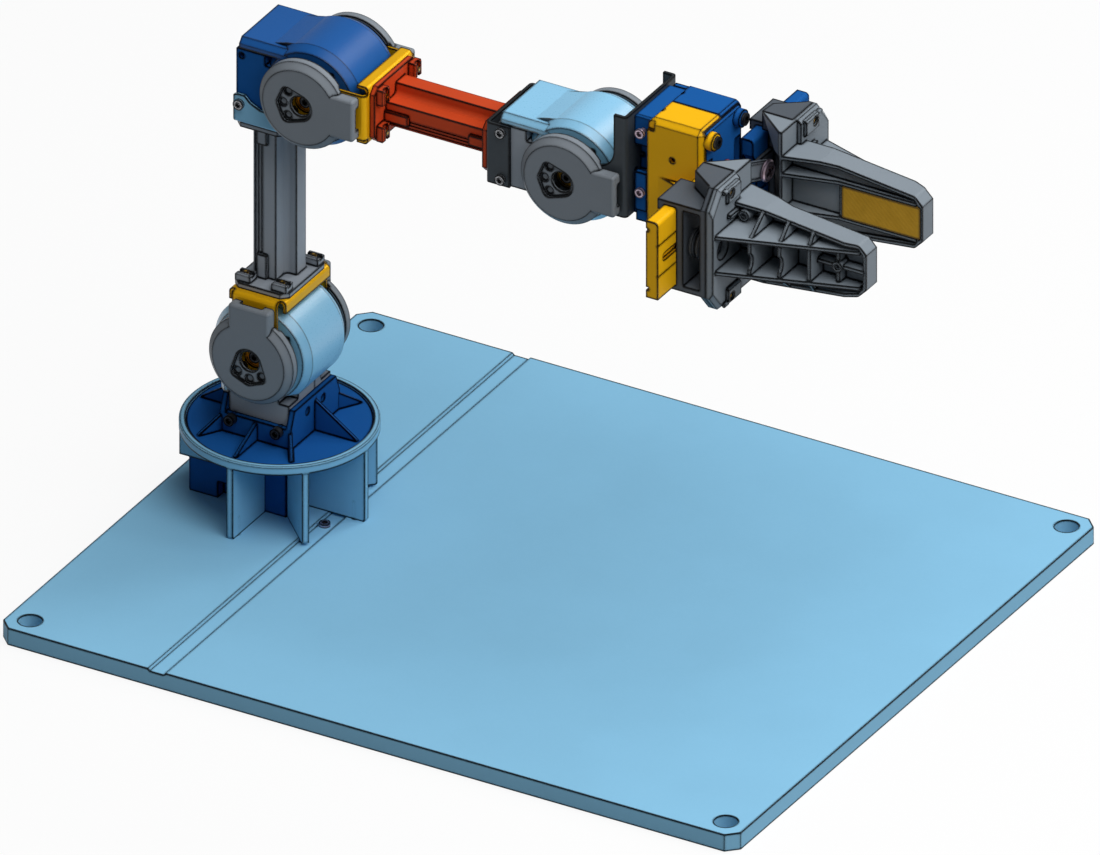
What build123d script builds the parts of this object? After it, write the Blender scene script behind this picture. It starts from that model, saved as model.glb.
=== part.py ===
from build123d import *
import os
from math import atan2, cos, degrees, radians, sin, sqrt

# Five-joint desktop robot arm with a parallel gripper, in millimetres.
# The origin is on the yaw axis at the underside of the base plate; +X points at the gripper, +Z up.

# base plate
PLATE_BACK = 47.5
PLATE_LENGTH = 350.0
PLATE_WIDTH = 300.0
PLATE_THICKNESS = 8.0
PLATE_CORNER = 5.0
BOLT_EDGE = 10.0
BOLT_HOLE = 5.0
GROOVE_BACK = 23.9
GROOVE_WIDTH = 8.5
GROOVE_DEPTH = 1.0
FOOT_BORE = 1.7

# smart servo: a box with its output axis near the front end
SERVO_WIDTH = 28.5
SERVO_LENGTH = 46.5
SERVO_DEPTH = 34.0
SERVO_AXIS = 11.25
CASE_WALL = 2.2
CASE_SPLIT = 4.0
CASE_EDGE = 0.8
NOTCH_START = 14.05
NOTCH_LENGTH = 13.9
NOTCH_WIDTH = 5.0
NOTCH_DEPTH = 7.7
SIDE_HOLE_END = 3.0
SIDE_HOLE_SPREAD = 11.0
SIDE_HOLE_DEPTH = 5.0
SHAFT_RADIUS = 4.0
RUN_FIT = 0.05
MOTOR_LENGTH = 24.0
GEAR_THICKNESS = 2.4

# screws
SCREW_RADIUS = 1.25
SCREW_CLEAR = 0.15
THREAD_CLEAR = 0.04
PAN_RADIUS = 2.4
PAN_HEIGHT = 1.6
CAP_RADIUS = 2.25
CAP_HEIGHT = 2.4
SOCKET_DEPTH = 1.1

# clearances
SLIP = 0.2
GAP = 0.3

# horns and hinge frames
HORN_RADIUS = 10.0
HORN_GAP = 0.3
HORN_THICKNESS = 2.2
HORN_BOSS = 3.0
HORN_PCD = 7.0
CENTRE_SCREW = 2.6
SHEET = 1.5
EAR_HALF = 10.5
EAR_BORE = 4.3
BEND = 1.9
WEB_REACH = 28.5
WEB_HALF = 13.5
LIP = 5.5
LIP_HALF = 18.2

# round joint covers
COVER_RADIUS = 20.0
COVER_FACE_RADIUS = 17.1
COVER_DEPTH = 6.3
COVER_BEVEL = 2.7
COVER_WALL = 1.8
COVER_START = 19.9
TAB_REACH = 25.6
TAB_HALF = 9.7
TAB_ROUND = 1.4
PEAR_DEPTH = 1.2
PEAR_NOSE = 6.0
DIMPLE_ORBIT = 8.0
DIMPLE_RADIUS = 1.9
PEAR_LOBE = 2.4
HUB_BORE = 4.5
TAB_SLOT = 5.2
TAB_SLOT_DEPTH = 2.4
COVER_NOTCH_ANGLE = 33.0
COVER_NOTCH = 1.2
DIMPLE_ANGLES = (135, 180, 225)

# drum covers
DRUM_RADIUS = 23.25
DRUM_HALF = 13.0
DRUM_END_RADIUS = 20.8
DRUM_WALL = 2.5
ROOF_HEIGHT = 19.0
ROOF_HALF = 15.0
ROOF_SKIRT = 2.5
ROOF_BACK = 33.4
ROOF_STEP = 18.9
DRUM_END = 16.6

# arm geometry
SHOULDER_HEIGHT = 84.0
ELBOW_OFFSET = 24.0
UPPER_REACH = 128.0
FOREARM_REACH = 124.0

# beams between the joints
BEAM_SIDE = 16.2
BEAM_NOTCH = 8.0
BEAM_NOTCH_DEPTH = 5.2
BEAM_ROUND = 2.2
RIDGE = 0.6
FLANGE = 2.5
FLANGE_HALF = 13.0
FLANGE_WIDE = 17.2
FLANGE_CORNER = 3.0
END_FLANGE_HALF = 11.8
END_SPREAD = 5.4
TOWER_HEIGHT = 3.6
TOWER_LENGTH = 5.6
TOWER_WIDTH = 7.2
TOWER_SPREAD = 8.6
TOWER_SIDE = 13.0
CLIP_HEIGHT = 11.0
CLIP_WIDTH = 4.6
UPPER_FLANGE_GAP = 20.3
FORE_FLANGE_GAP = 39.6

# mount frames behind the elbow and wrist servos
MOUNT_SHEET = 1.5
MOUNT_SIDE_REACH = 11.3

# turntable and pedestal
SERVO_FLOOR = 8.0
DISC_RADIUS = 38.5
DISC_TOP = 44.5
DISC_THICKNESS = 1.5
SOCKET_FLOOR = 2.0
SOCKET_OUT_X = 17.0
SOCKET_OUT_Y = 20.0
SOCKET_LOW_TOP = 53.5
SOCKET_HIGH_TOP = 61.4
SOCKET_HOLE = 1.6
GUSSET = 1.6
GUSSET_REACH = 37.0
RING_RADIUS = 41.5
RING_TOP = 45.4
RING_HEIGHT = 4.0
LEDGE_RADIUS = 33.0
FIN = 3.0
FIN_RADIUS = 41.2
CHEEK_BOTTOM = 25.4
CHEEK_BACK = 38.4
CHEEK_FRONT = 20.0
CHEEK_THICKNESS = 2.4
FIN_SCREW_RADIUS = 36.0
PEDESTAL_SCREW = 0.8
PLATE_SCREW = (27.4, -10.5)
PLATE_SCREW_DEPTH = 5.0

# hand and gripper housing
HAND_TOP = 36.4
HAND_BOTTOM = 11.2
HAND_FLANGE = 6.0
HAND_FILLET = 8.5
HAND_SCREW_SIDE = 8.0
HAND_SCREW_UP = (14.0, 30.0)
HAND_HEAD = 0.7
HAND_PILOT_SIDE = 13.0
HAND_PILOT_UP = (3.0, 8.0)
SHELL_BACK = 36.0
SHELL_HALF = 17.0
SHELL_TOP = 37.0
SHELL_BOTTOM = 20.5
SHELL_EDGE = 2.4
SHELL_HOLE_BACK = 12.0
SHELL_HOLE_UP = 20.0
SPLIT = 0.1
COLLAR_BACK = 30.3
COLLAR_HIGH = 21.0
COLLAR_MID = 10.0
COLLAR_LOW = 8.0
COLLAR_WALL = 2.0
BOSS_RADIUS = 4.0
BOSS_HEIGHT = 3.1
BOSS_SIDE = 11.3
BOSS_UP = 30.9
BOSS_HEAD = 2.8
KEYHOLE_RADIUS = 1.3
KEYHOLE_BACK = 1.7

# rails and carriages
RAIL_BACK = 61.6
RAIL_THICKNESS = 5.7
RAIL_HALF = 18.2
RAIL_INNER = 20.2
RAIL_OUTER = 62.2
RAIL_HOOK = 3.6
RAIL_SLOT = 1.4
RAIL_ROUND = 1.8
RAIL_LINE = 7.3
LINE_CUT = 0.5
SLOT_SIDE = 51.0
SLOT_LENGTH = 14.0
SLOT_WIDTH = 3.2
RAIL_FIT = 0.08
GUSSET_END = 38.0
GUSSET_TOP = 10.4
GUSSET_HALF = 15.0
HOOK_GAP = 15.7
CARRIAGE_BACK = 58.6
CARRIAGE_FRONT = 81.5
CARRIAGE_HALF = 20.5
CARRIAGE_INNER = 28.2
CARRIAGE_RIM = 2.5
WINDOW_BACK = 70.7
WINDOW_FRONT = 78.5
WINDOW_HALF = 17.8
WEDGE_BACK = 66.8
WEDGE_INNER = 24.3
ROLLER_RADIUS = 6.6
ROLLER_WIDTH = 5.0
ROLLER_SIDE = 39.4
ROLLER_VIEW = 4.5
AXLE_RADIUS = 1.5

# crank and rods
CRANK_RADIUS = 14.0
CRANK_END = 5.0
CRANK_HUB = 6.5
CRANK_THICKNESS = 2.3
ROD_LENGTH = 24.0
ROD_DROP = 8.87
ROD_HALF = 4.4
ROD_RIM = 1.2
ROD_THICKNESS = 2.0
ROD_PIVOT_SIDE = 18.6
ROD_PIVOT_UP = 4.6
LUG_THICKNESS = 2.0
LUG_HALF = 5.0
PIVOT_HEAD = 4.9
PIVOT_HEAD_HEIGHT = 1.9
PIVOT_PIN = 2.0

# palms and fingers
PALM_FRONT = 85.0
PALM_INNER = 12.5
PALM_OUTER = 47.5
PALM_HALF = 28.5
PALM_CUT = 6.5
PALM_EDGE = 1.8
PALM_STEP = 2.0
STEP_SIDE = 25.0
BLOCK_LOW = 17.0
BLOCK_KNEE = 78.0
TOWER_NEAR = 27.0
TOWER_FAR = 37.0
TOWER_LOW = 20.0
TOWER_FRONT = 86.6
TIP_POCKET = 1.2
PALM_SCREW_SIDE = 34.3
PALM_SCREW_UP = 24.4
PALM_SCREW = 6.6
FINGER_TIP = 146.2
FINGER_ROOT = 46.2
FINGER_END = 27.5
FINGER_ROOT_HALF = 17.3
FINGER_TIP_HALF = 12.2
FINGER_NOSE_HALF = 8.3
FINGER_PLATE = 2.0
FLANGE_SIDE = 29.5
CREASE = 98.4
NOSE = 142.4
NOSE_ROUND = 2.5
PLATE_SEAT = 21.0
PANEL_START = 106.4
PANEL_HALF = 9.2
RIB = 1.7
RIB_UP = 8.4
RIB_END = 143.0
CROSS_RIBS = (97.6, 109.6, 121.4)
WAVE_OUT = 1.5
WAVE_RADIUS = 4.5
TIP_BOSS = 133.0
BOSS_TUBE = 2.4
BOSS_OUT = 28.0
TUBE_UP = 12.4
TUBE_OUT = 30.6
BAR = 1.8
BAR_OUT = 35.9
BAR_UP = 13.5
PAD_FACE = 18.7
PAD_PROUD = 0.5
PAD_START = 107.9
PAD_END = 144.9
PAD_HALF = 7.4
PAD_THICKNESS = 1.2

# shared odds and ends
THREAD_GRIP = 1.7
LOW_HEAD = 1.4
LAP = 0.5
BIG = 60.0

ELBOW_HEIGHT = SHOULDER_HEIGHT + UPPER_REACH
WRIST_X = ELBOW_OFFSET + FOREARM_REACH
CASE_HALF = SERVO_WIDTH / 2
CASE_ROOM = CASE_HALF - NOTCH_WIDTH - CASE_WALL
DEPTH_HALF = SERVO_DEPTH / 2
CASE_FRONT = SERVO_AXIS
CASE_BACK = SERVO_AXIS - SERVO_LENGTH
SIDE_HOLE_X = CASE_BACK + SIDE_HOLE_END
HORN_FACE = DEPTH_HALF + HORN_GAP
EAR_INNER = HORN_FACE + HORN_THICKNESS
EAR_OUTER = EAR_INNER + SHEET
COVER_FACE = COVER_START + COVER_DEPTH

SHOULDER = Pos(0, 0, SHOULDER_HEIGHT) * Rot(0, -90, 0)
ELBOW = Pos(ELBOW_OFFSET, 0, ELBOW_HEIGHT)
WRIST = Pos(WRIST_X, 0, ELBOW_HEIGHT)
YAW = Plane(origin=(0, 0, SERVO_FLOOR + DEPTH_HALF), x_dir=(1, 0, 0), z_dir=(0, -1, 0)).location
GRIP_FACE = WEB_REACH + SERVO_DEPTH
GRIP = WRIST * Plane(origin=(WEB_REACH + DEPTH_HALF, 0, 0), x_dir=(0, 0, -1), z_dir=(0, -1, 0)).location
SHOULDER_ROOF = SHOULDER_HEIGHT - SOCKET_HIGH_TOP - GAP
CRANK_BACK = GRIP_FACE + HORN_GAP + HORN_THICKNESS
LUG_BACK = RAIL_BACK + RAIL_THICKNESS + GAP + SLIP
ROD_BACK = LUG_BACK + LUG_THICKNESS + SLIP
SIDES = (-1, 1)


def box(x0, x1, y0, y1, z0, z1):
    """A box between two corners."""
    size = Box(abs(x1 - x0), abs(y1 - y0), abs(z1 - z0))
    return Pos((x0 + x1) / 2, (y0 + y1) / 2, (z0 + z1) / 2) * size


def rod(start, direction, radius, length):
    """A cylinder from start along direction."""
    seat = Plane(origin=start, z_dir=direction).location
    return seat * Cylinder(radius, length, align=(Align.CENTER, Align.CENTER, Align.MIN))


def plate_xz(points, y0, y1):
    """A flat outline in X and Z, made thick from y0 to y1."""
    low, high = min(y0, y1), max(y0, y1)
    outline = Plane.XZ * make_face(Polyline(*points, close=True))
    return Pos(0, high, 0) * extrude(outline, high - low)


def plate_xy(points, z0, z1):
    """A flat outline in X and Y, made thick from z0 to z1."""
    return Pos(0, 0, z0) * extrude(make_face(Polyline(*points, close=True)), z1 - z0)


def plate_yz(points, x0, x1):
    """A flat outline in Y and Z, made thick from x0 to x1."""
    outline = Plane.YZ * make_face(Polyline(*points, close=True))
    return Pos(x0, 0, 0) * extrude(outline, x1 - x0)


def mirrored(shape, side):
    """The shape itself on the +Y side, its mirror image on the -Y side."""
    return shape if side > 0 else mirror(shape, Plane.XZ)


def screw(head_seat, direction, shank, head_radius=PAN_RADIUS, head_height=PAN_HEIGHT, radius=SCREW_RADIUS):
    """A screw whose head sits at head_seat and whose shank runs along direction."""
    back = tuple(-v for v in direction)
    top = Plane(origin=head_seat, z_dir=back).location
    head = top * Cylinder(head_radius, head_height, align=(Align.CENTER, Align.CENTER, Align.MIN))
    socket = top * Pos(0, 0, head_height - SOCKET_DEPTH) * extrude(
        RegularPolygon(head_radius * 0.5, 6), SOCKET_DEPTH + 1
    )
    return head + rod(head_seat, direction, radius, shank) - socket


def save(name, *shapes):
    """Writes one sub-part, with each of its pieces as a solid of its own."""
    solids = [solid for shape in shapes for solid in shape.solids()]
    export_step(Compound(children=solids), f"parts/{name}.step")


# pieces that every joint servo repeats, in a frame with the output axis along Y and the body toward -X


def side_hole_places():
    """The fixing holes at the servo's rear, as (x, side, z)."""
    return [(SIDE_HOLE_X, side, z * SIDE_HOLE_SPREAD) for side in SIDES for z in SIDES]


def case_outline(grow=0.0):
    """The servo's outside, with its four long corners notched beside the output."""
    deep, wide = DEPTH_HALF + grow, CASE_HALF + grow
    block = box(CASE_BACK - grow, CASE_FRONT + grow, -deep, deep, -wide, wide)
    for y in SIDES:
        for z in SIDES:
            notch = box(
                CASE_BACK + NOTCH_START + grow,
                CASE_BACK + NOTCH_START + NOTCH_LENGTH - grow,
                y * (DEPTH_HALF - NOTCH_DEPTH + grow),
                y * (DEPTH_HALF + 5),
                z * (CASE_HALF - NOTCH_WIDTH + grow),
                z * (CASE_HALF + 5),
            )
            block -= notch
    return block


def servo_case():
    """Two hollow halves that meet at a split across the output axis."""
    block = case_outline()
    long_edges = [
        e for e in block.edges().filter_by(Axis.Z) if abs(e.center().X - CASE_BACK) < 0.1
    ] + [e for e in block.edges().filter_by(Axis.Y) if abs(e.center().X - CASE_BACK) < 0.1]
    block = chamfer(long_edges, CASE_EDGE)
    inner = DEPTH_HALF - CASE_WALL
    block -= box(CASE_BACK + CASE_WALL * 2, CASE_FRONT - CASE_WALL, -inner, inner, -CASE_ROOM, CASE_ROOM)
    room_low = DEPTH_HALF - NOTCH_DEPTH - CASE_WALL
    high = CASE_HALF - CASE_WALL
    block -= box(CASE_BACK + CASE_WALL * 3, CASE_FRONT - CASE_WALL, -room_low, room_low, -high, high)
    block -= rod((0, -DEPTH_HALF - 1, 0), (0, 1, 0), SHAFT_RADIUS + RUN_FIT, SERVO_DEPTH + 2)
    for x, side, z in side_hole_places():
        start = (x, side * (DEPTH_HALF + 1), z)
        block -= rod(start, (0, -side, 0), SCREW_RADIUS + THREAD_CLEAR, SIDE_HOLE_DEPTH + 1)
    cut = CASE_BACK - 1
    front = block & box(cut, CASE_FRONT + 1, -DEPTH_HALF - 1, CASE_SPLIT, -CASE_HALF - 1, CASE_HALF + 1)
    back = block & box(cut, CASE_FRONT + 1, CASE_SPLIT, DEPTH_HALF + 1, -CASE_HALF - 1, CASE_HALF + 1)
    return [front, back]


def servo_core():
    """The motor and the output gear inside a servo case."""
    radius = CASE_ROOM - GAP
    motor_x = CASE_BACK + CASE_WALL * 3 + radius + GAP
    motor = rod((motor_x, -MOTOR_LENGTH / 2, 0), (0, 1, 0), radius, MOTOR_LENGTH)
    top = DEPTH_HALF - CASE_WALL - GAP
    gear = rod((0, top - GEAR_THICKNESS, 0), (0, 1, 0), radius, GEAR_THICKNESS)
    gear -= rod((0, top - GEAR_THICKNESS - 1, 0), (0, 1, 0), SHAFT_RADIUS + RUN_FIT, GEAR_THICKNESS + 2)
    return [motor, gear]


def drum_profile(grow=0.0):
    """The rounded shell around the output end, before it is hollowed."""
    half = [
        (0, -DEPTH_HALF - grow),
        (DRUM_END_RADIUS + grow, -DEPTH_HALF - grow),
        (DRUM_RADIUS + grow, -DRUM_HALF),
        (DRUM_RADIUS + grow, DRUM_HALF),
        (DRUM_END_RADIUS + grow, DEPTH_HALF + grow),
        (0, DEPTH_HALF + grow),
    ]
    return revolve(make_face(Polyline(*half, close=True)), Axis.Y)


def drum_cover(roof_back):
    """The shell over the servo's round end, with a flat roof along one side of the case."""
    drum = drum_profile()
    drum -= box(-DRUM_RADIUS - 1, -DRUM_END, -DEPTH_HALF - 1, DEPTH_HALF + 1, -DRUM_RADIUS - 1, 0)
    skirt_low = ROOF_HEIGHT - ROOF_SKIRT - 2.0
    roof = plate_yz(
        [
            (-ROOF_HALF, ROOF_HEIGHT),
            (-DEPTH_HALF - SLIP, ROOF_HEIGHT - ROOF_SKIRT),
            (-DEPTH_HALF - SLIP, skirt_low),
            (DEPTH_HALF + SLIP, skirt_low),
            (DEPTH_HALF + SLIP, ROOF_HEIGHT - ROOF_SKIRT),
            (ROOF_HALF, ROOF_HEIGHT),
        ],
        -roof_back,
        -DRUM_END_RADIUS / 2,
    )
    rise = sqrt(DRUM_RADIUS**2 - (ROOF_STEP / 2) ** 2)
    blend = plate_xz(
        [
            (-ROOF_STEP, ROOF_HEIGHT - 1),
            (-ROOF_STEP, ROOF_HEIGHT),
            (-ROOF_STEP / 2, rise),
            (-ROOF_STEP / 2, 10),
        ],
        -DRUM_HALF,
        DRUM_HALF,
    )
    shell = drum + roof + blend
    shell -= rod(
        (0, -DEPTH_HALF + CASE_WALL, 0), (0, 1, 0), DRUM_RADIUS - DRUM_WALL, SERVO_DEPTH - 2 * CASE_WALL
    )
    shell -= case_outline(SLIP)
    shell -= rod((0, -DEPTH_HALF - 1, 0), (0, 1, 0), CASE_HALF + 1.5, CASE_WALL + 2)
    shell -= rod((0, DEPTH_HALF + 1, 0), (0, -1, 0), CASE_HALF + 1.5, CASE_WALL + 2)
    return max(shell.solids(), key=lambda s: s.volume)


def horn(side):
    """An output disc with its short shaft running in the case."""
    disc = rod((0, side * HORN_FACE, 0), (0, side, 0), HORN_RADIUS, HORN_THICKNESS)
    disc += rod((0, side * HORN_FACE, 0), (0, -side, 0), SHAFT_RADIUS, HORN_GAP + HORN_BOSS)
    for x, z in horn_places():
        disc -= rod(
            (x, side * (EAR_OUTER + 1), z),
            (0, -side, 0),
            SCREW_RADIUS + THREAD_CLEAR,
            SHEET + HORN_THICKNESS + 1 - GAP,
        )
    return disc


def horn_places():
    """The four screw places on an output disc."""
    return [(HORN_PCD * cos(radians(a)), HORN_PCD * sin(radians(a))) for a in (45, 135, 225, 315)]


def horns():
    return [horn(side) for side in SIDES]


def horn_screws():
    """Four screws through each ear into its horn, and one in the middle."""
    length = SHEET + HORN_THICKNESS - GAP * 1.5
    found = []
    for side in SIDES:
        for x, z in horn_places():
            found.append(screw((x, side * EAR_OUTER, z), (0, -side, 0), length, head_radius=2.1))
        centre = rod((0, side * EAR_INNER, 0), (0, side, 0), CENTRE_SCREW, PAN_HEIGHT)
        centre -= rod(
            (0, side * (EAR_INNER + PAN_HEIGHT - SOCKET_DEPTH), 0),
            (0, side, 0),
            CENTRE_SCREW * 0.45,
            SOCKET_DEPTH + 1,
        )
        found.append(centre)
    return found


def ear(side):
    """One bent side of a hinge frame, down to the round end over the horn."""
    tongue = box(0, WEB_REACH - BEND, side * EAR_INNER, side * EAR_OUTER, -EAR_HALF, EAR_HALF)
    tongue += rod((0, side * EAR_INNER, 0), (0, side, 0), EAR_HALF, SHEET)
    tongue -= rod((0, side * (EAR_INNER - 1), 0), (0, side, 0), EAR_BORE, SHEET + 2)
    for x, z in horn_places():
        tongue -= rod((x, side * (EAR_INNER - 1), z), (0, side, 0), SCREW_RADIUS + SCREW_CLEAR, SHEET + 2)
    return tongue


def bent_hoop(height):
    """A closed sheet loop with rounded bends, of which a frame keeps the front."""
    outer = RectangleRounded(2 * WEB_REACH, 2 * EAR_OUTER, BEND)
    inner = RectangleRounded(2 * (WEB_REACH - SHEET), 2 * EAR_INNER, BEND - SHEET)
    return extrude(outer - inner, height)


def flange_places():
    """The four screw places in a link's end flange, as (side, up)."""
    return [(y * TOWER_SIDE, z * TOWER_SPREAD) for y in SIDES for z in SIDES]


def end_places():
    """The four screw places in a link's far flange, as (side, up)."""
    return [(y * TOWER_SIDE, z * END_SPREAD) for y in SIDES for z in SIDES]


def hinge_frame():
    """A bent sheet frame: two ears over the horns and a web with rolled lips."""
    hoop = Pos(0, 0, -EAR_HALF) * bent_hoop(2 * EAR_HALF)
    frame = ear(1) + ear(-1) + (hoop & box(WEB_REACH - BEND, WEB_REACH + 1, -BIG, BIG, -BIG, BIG))
    outline = RectangleRounded(2 * WEB_HALF, 2 * WEB_REACH, BEND) - RectangleRounded(
        2 * (WEB_HALF - SHEET), 2 * (WEB_REACH - SHEET), BEND - SHEET
    )
    rolled = Plane(
        origin=(0, -LIP_HALF, 0), x_dir=(0, 0, 1), z_dir=(0, 1, 0)
    ).location * extrude(outline, 2 * LIP_HALF)
    frame += rolled & box(WEB_REACH - LIP, WEB_REACH + 1, -LIP_HALF - 1, LIP_HALF + 1, -40, 40)
    for y, z in flange_places():
        frame -= rod((WEB_REACH - SHEET - 1, y, z), (1, 0, 0), SCREW_RADIUS + SCREW_CLEAR, SHEET + 2)
    frame -= rod((WEB_REACH - SHEET - 1, 0, 0), (1, 0, 0), EAR_BORE, SHEET + 2)
    return frame


def round_cover(side):
    """The cap outside one ear: a bevelled dish with a tab toward the next link."""
    start = side * COVER_START
    face = side * COVER_FACE
    bevel = side * (COVER_FACE - COVER_BEVEL)
    profile = [(0, start), (COVER_RADIUS, start), (COVER_RADIUS, bevel), (COVER_FACE_RADIUS, face), (0, face)]
    cap = revolve(make_face(Polyline(*profile, close=True)), Axis.Y)
    tab = box(0, TAB_REACH, side * EAR_OUTER, face, -TAB_HALF, TAB_HALF)
    soft = [e for e in tab.edges() if abs(e.center().Y - face) < 0.1 and e.center().X > 1]
    soft += [e for e in tab.edges().filter_by(Axis.Y) if e.center().X > 1]
    cap += fillet(soft, TAB_ROUND)
    floor = side * (COVER_FACE - COVER_WALL - PEAR_DEPTH)
    hollow = rod(
        (0, side * (COVER_START - 1), 0),
        (0, side, 0),
        COVER_RADIUS - COVER_WALL,
        abs(floor) - COVER_START + 1,
    )
    hollow += box(
        0,
        TAB_REACH - COVER_WALL,
        side * (EAR_OUTER - 2),
        floor,
        -TAB_HALF + COVER_WALL,
        TAB_HALF - COVER_WALL,
    )
    hollow += box(
        TAB_REACH - COVER_WALL - 1,
        TAB_REACH + 1,
        side * (EAR_OUTER - 2),
        side * (EAR_OUTER + TAB_SLOT_DEPTH),
        -TAB_SLOT,
        TAB_SLOT,
    )
    cap -= hollow
    slot = EAR_HALF + SLIP
    cap -= box(0, COVER_RADIUS + 1, side * (COVER_START - 1), side * EAR_OUTER, -slot, slot)
    lobes = [Circle(PEAR_NOSE)] + [
        Pos(
            DIMPLE_ORBIT * cos(radians(a)), DIMPLE_ORBIT * sin(radians(a))
        ) * Circle(PEAR_LOBE) for a in DIMPLE_ANGLES
    ]
    edges = [edge for lobe in lobes for edge in lobe.edges()]
    pear = Plane.XZ * make_face(make_hull(ShapeList(edges)))
    depth = COVER_FACE - PEAR_DEPTH
    low, high = sorted((side * depth, side * (COVER_FACE + 1)))
    cap -= Pos(0, high, 0) * extrude(pear, high - low)
    for angle in DIMPLE_ANGLES:
        x, z = DIMPLE_ORBIT * cos(radians(angle)), DIMPLE_ORBIT * sin(radians(angle))
        cap -= rod(
            (x, side * (COVER_FACE + 1), z), (0, -side, 0), DIMPLE_RADIUS, 1 + PEAR_DEPTH + COVER_WALL / 2
        )
    cap -= rod((0, side * (COVER_START - 1), 0), (0, side, 0), HUB_BORE, COVER_DEPTH + 2)
    for z in SIDES:
        angle = radians(COVER_NOTCH_ANGLE)
        x, up = COVER_RADIUS * cos(angle), COVER_RADIUS * sin(angle)
        cap -= box(x - 1, x + 1, start, side * (COVER_START + COVER_NOTCH), z * up - 1, z * up + 1)
    return cap


# links


def beam_section(flip):
    """The moulded beam's section in Y and Z: a square with two opposite corners let in and fine ridges."""
    half = BEAM_SIDE / 2
    section = RectangleRounded(BEAM_SIDE, BEAM_SIDE, 0.8)
    for turn in SIDES:
        y, z = turn * -1, turn * flip
        notch = Pos(
            y * (half - BEAM_NOTCH / 2 + 1), z * (half - BEAM_NOTCH_DEPTH / 2 + 1)
        ) * RectangleRounded(
            BEAM_NOTCH + 2, BEAM_NOTCH_DEPTH + 2, BEAM_ROUND
        )
        section -= notch
        for n in range(3):
            section -= Pos(y * half, -z * (half - 1.4 - 1.5 * n)) * Rectangle(2 * RIDGE, RIDGE)
    return section


def flange(x0, x1, wide, high, corner):
    """A flat end plate with cut corners."""
    block = box(x0, x1, -wide, wide, -high, high)
    return chamfer(block.edges().filter_by(Axis.X), corner)


def tower(x, y, z):
    """A screw block on the flange, with its pocket open to the top and one side."""
    block = box(
        x,
        x + TOWER_HEIGHT,
        y - TOWER_LENGTH / 2,
        y + TOWER_LENGTH / 2,
        z - TOWER_WIDTH / 2,
        z + TOWER_WIDTH / 2,
    )
    outer = [e for e in block.edges() if e.center().X > x + TOWER_HEIGHT - 0.1]
    block = chamfer(outer, 0.7)
    block -= box(x + TOWER_HEIGHT - 1.4, x + TOWER_HEIGHT + 1, y - 1.2, y + 1.2, z - 5, z + 5)
    return block


def beam(end, flip):
    """A link from the hinge frame's web to the next mount frame, along X."""
    start = WEB_REACH
    body = flange(start, start + FLANGE, FLANGE_WIDE, FLANGE_HALF, FLANGE_CORNER)
    body += flange(end - FLANGE, end, FLANGE_WIDE, END_FLANGE_HALF, FLANGE_CORNER)
    body += Pos(start + FLANGE / 2, 0, 0) * extrude(
        Plane.YZ * beam_section(flip), end - start - FLANGE
    )
    for y, z in flange_places():
        body += tower(start + FLANGE, y, z)
    half = BEAM_SIDE / 2
    for x, turn in ((start + FLANGE, 1), (end - FLANGE, -1)):
        low, high = sorted((x, x + turn * CLIP_HEIGHT))
        body += box(
            low, high, -half - 1.4, -half + 1, flip * -3.2 - CLIP_WIDTH / 2, flip * -3.2 + CLIP_WIDTH / 2
        )
    for y, z in flange_places():
        body -= rod((start - 1, y, z), (1, 0, 0), SCREW_RADIUS + THREAD_CLEAR, FLANGE + TOWER_HEIGHT + 2)
    for y, z in end_places():
        body -= rod((end + 1, y, z), (-1, 0, 0), SCREW_RADIUS + THREAD_CLEAR, FLANGE + 2)
    return body


def link_screws(end, base_thickness):
    """Screws from inside the hinge frame into the towers, and from the mount frame into the far flange."""
    found = []
    for y, z in flange_places():
        found.append(
            screw((WEB_REACH - SHEET, y, z), (1, 0, 0), SHEET + FLANGE + TOWER_HEIGHT + 0.2, head_height=1.4),
        )
    for y, z in end_places():
        found.append(
            screw((end + base_thickness, y, z), (-1, 0, 0), base_thickness + FLANGE, head_height=1.4)
        )
    return found


def mount_screws(wall, z_sides):
    """Screws through a mount frame's sides into the servo's rear holes."""
    seat = DEPTH_HALF + wall
    return [
        screw((x, side * seat, z), (0, -side, 0), wall + SIDE_HOLE_DEPTH - 1)
        for x, side, z in side_hole_places()
        if z * z_sides >= 0
    ]


def elbow_mount():
    """A moulded cradle under the elbow servo, with ears over its lower rear holes."""
    low = -UPPER_FLANGE_GAP
    wall = MOUNT_SHEET
    inner = DEPTH_HALF + SLIP
    outer = inner + wall
    seat = -CASE_HALF - SLIP / 2
    front = SIDE_HOLE_X + 20.0
    cradle = box(CASE_BACK, CASE_BACK + 24.0, -outer, outer, low, seat)
    cradle = fillet(cradle.edges().filter_by(Axis.X).sort_by(Axis.Z)[:2], 2.0)
    cradle -= box(CASE_BACK + 3, CASE_BACK + 21.0, -inner + 6, inner - 6, seat - 2.6, seat + 1)
    for side in SIDES:
        points = [
            (CASE_BACK, seat - 1),
            (CASE_BACK, -7.4),
            (CASE_BACK + 1.6, -6.6),
            (CASE_BACK + 5.2, -6.6),
            (CASE_BACK + 8.0, -9.4),
            (CASE_BACK + 12.5, -11.6),
            (front, -12.0),
            (front, seat - 1),
        ]
        cradle += plate_xz(points, side * inner, side * outer)
    for x, side, z in side_hole_places():
        if z < 0:
            cradle -= rod((x, side * (inner - 1), z), (0, side, 0), SCREW_RADIUS + SCREW_CLEAR, wall + 2)
    shift = -ELBOW_OFFSET
    for y, z in end_places():
        cradle -= rod((shift - z, y, low - 1), (0, 0, 1), SCREW_RADIUS + SCREW_CLEAR, 8)
        cradle -= rod((shift - z, y, low + MOUNT_SHEET), (0, 0, 1), PAN_RADIUS + SLIP, 10)
    return cradle - drum_profile(GAP)


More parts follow.
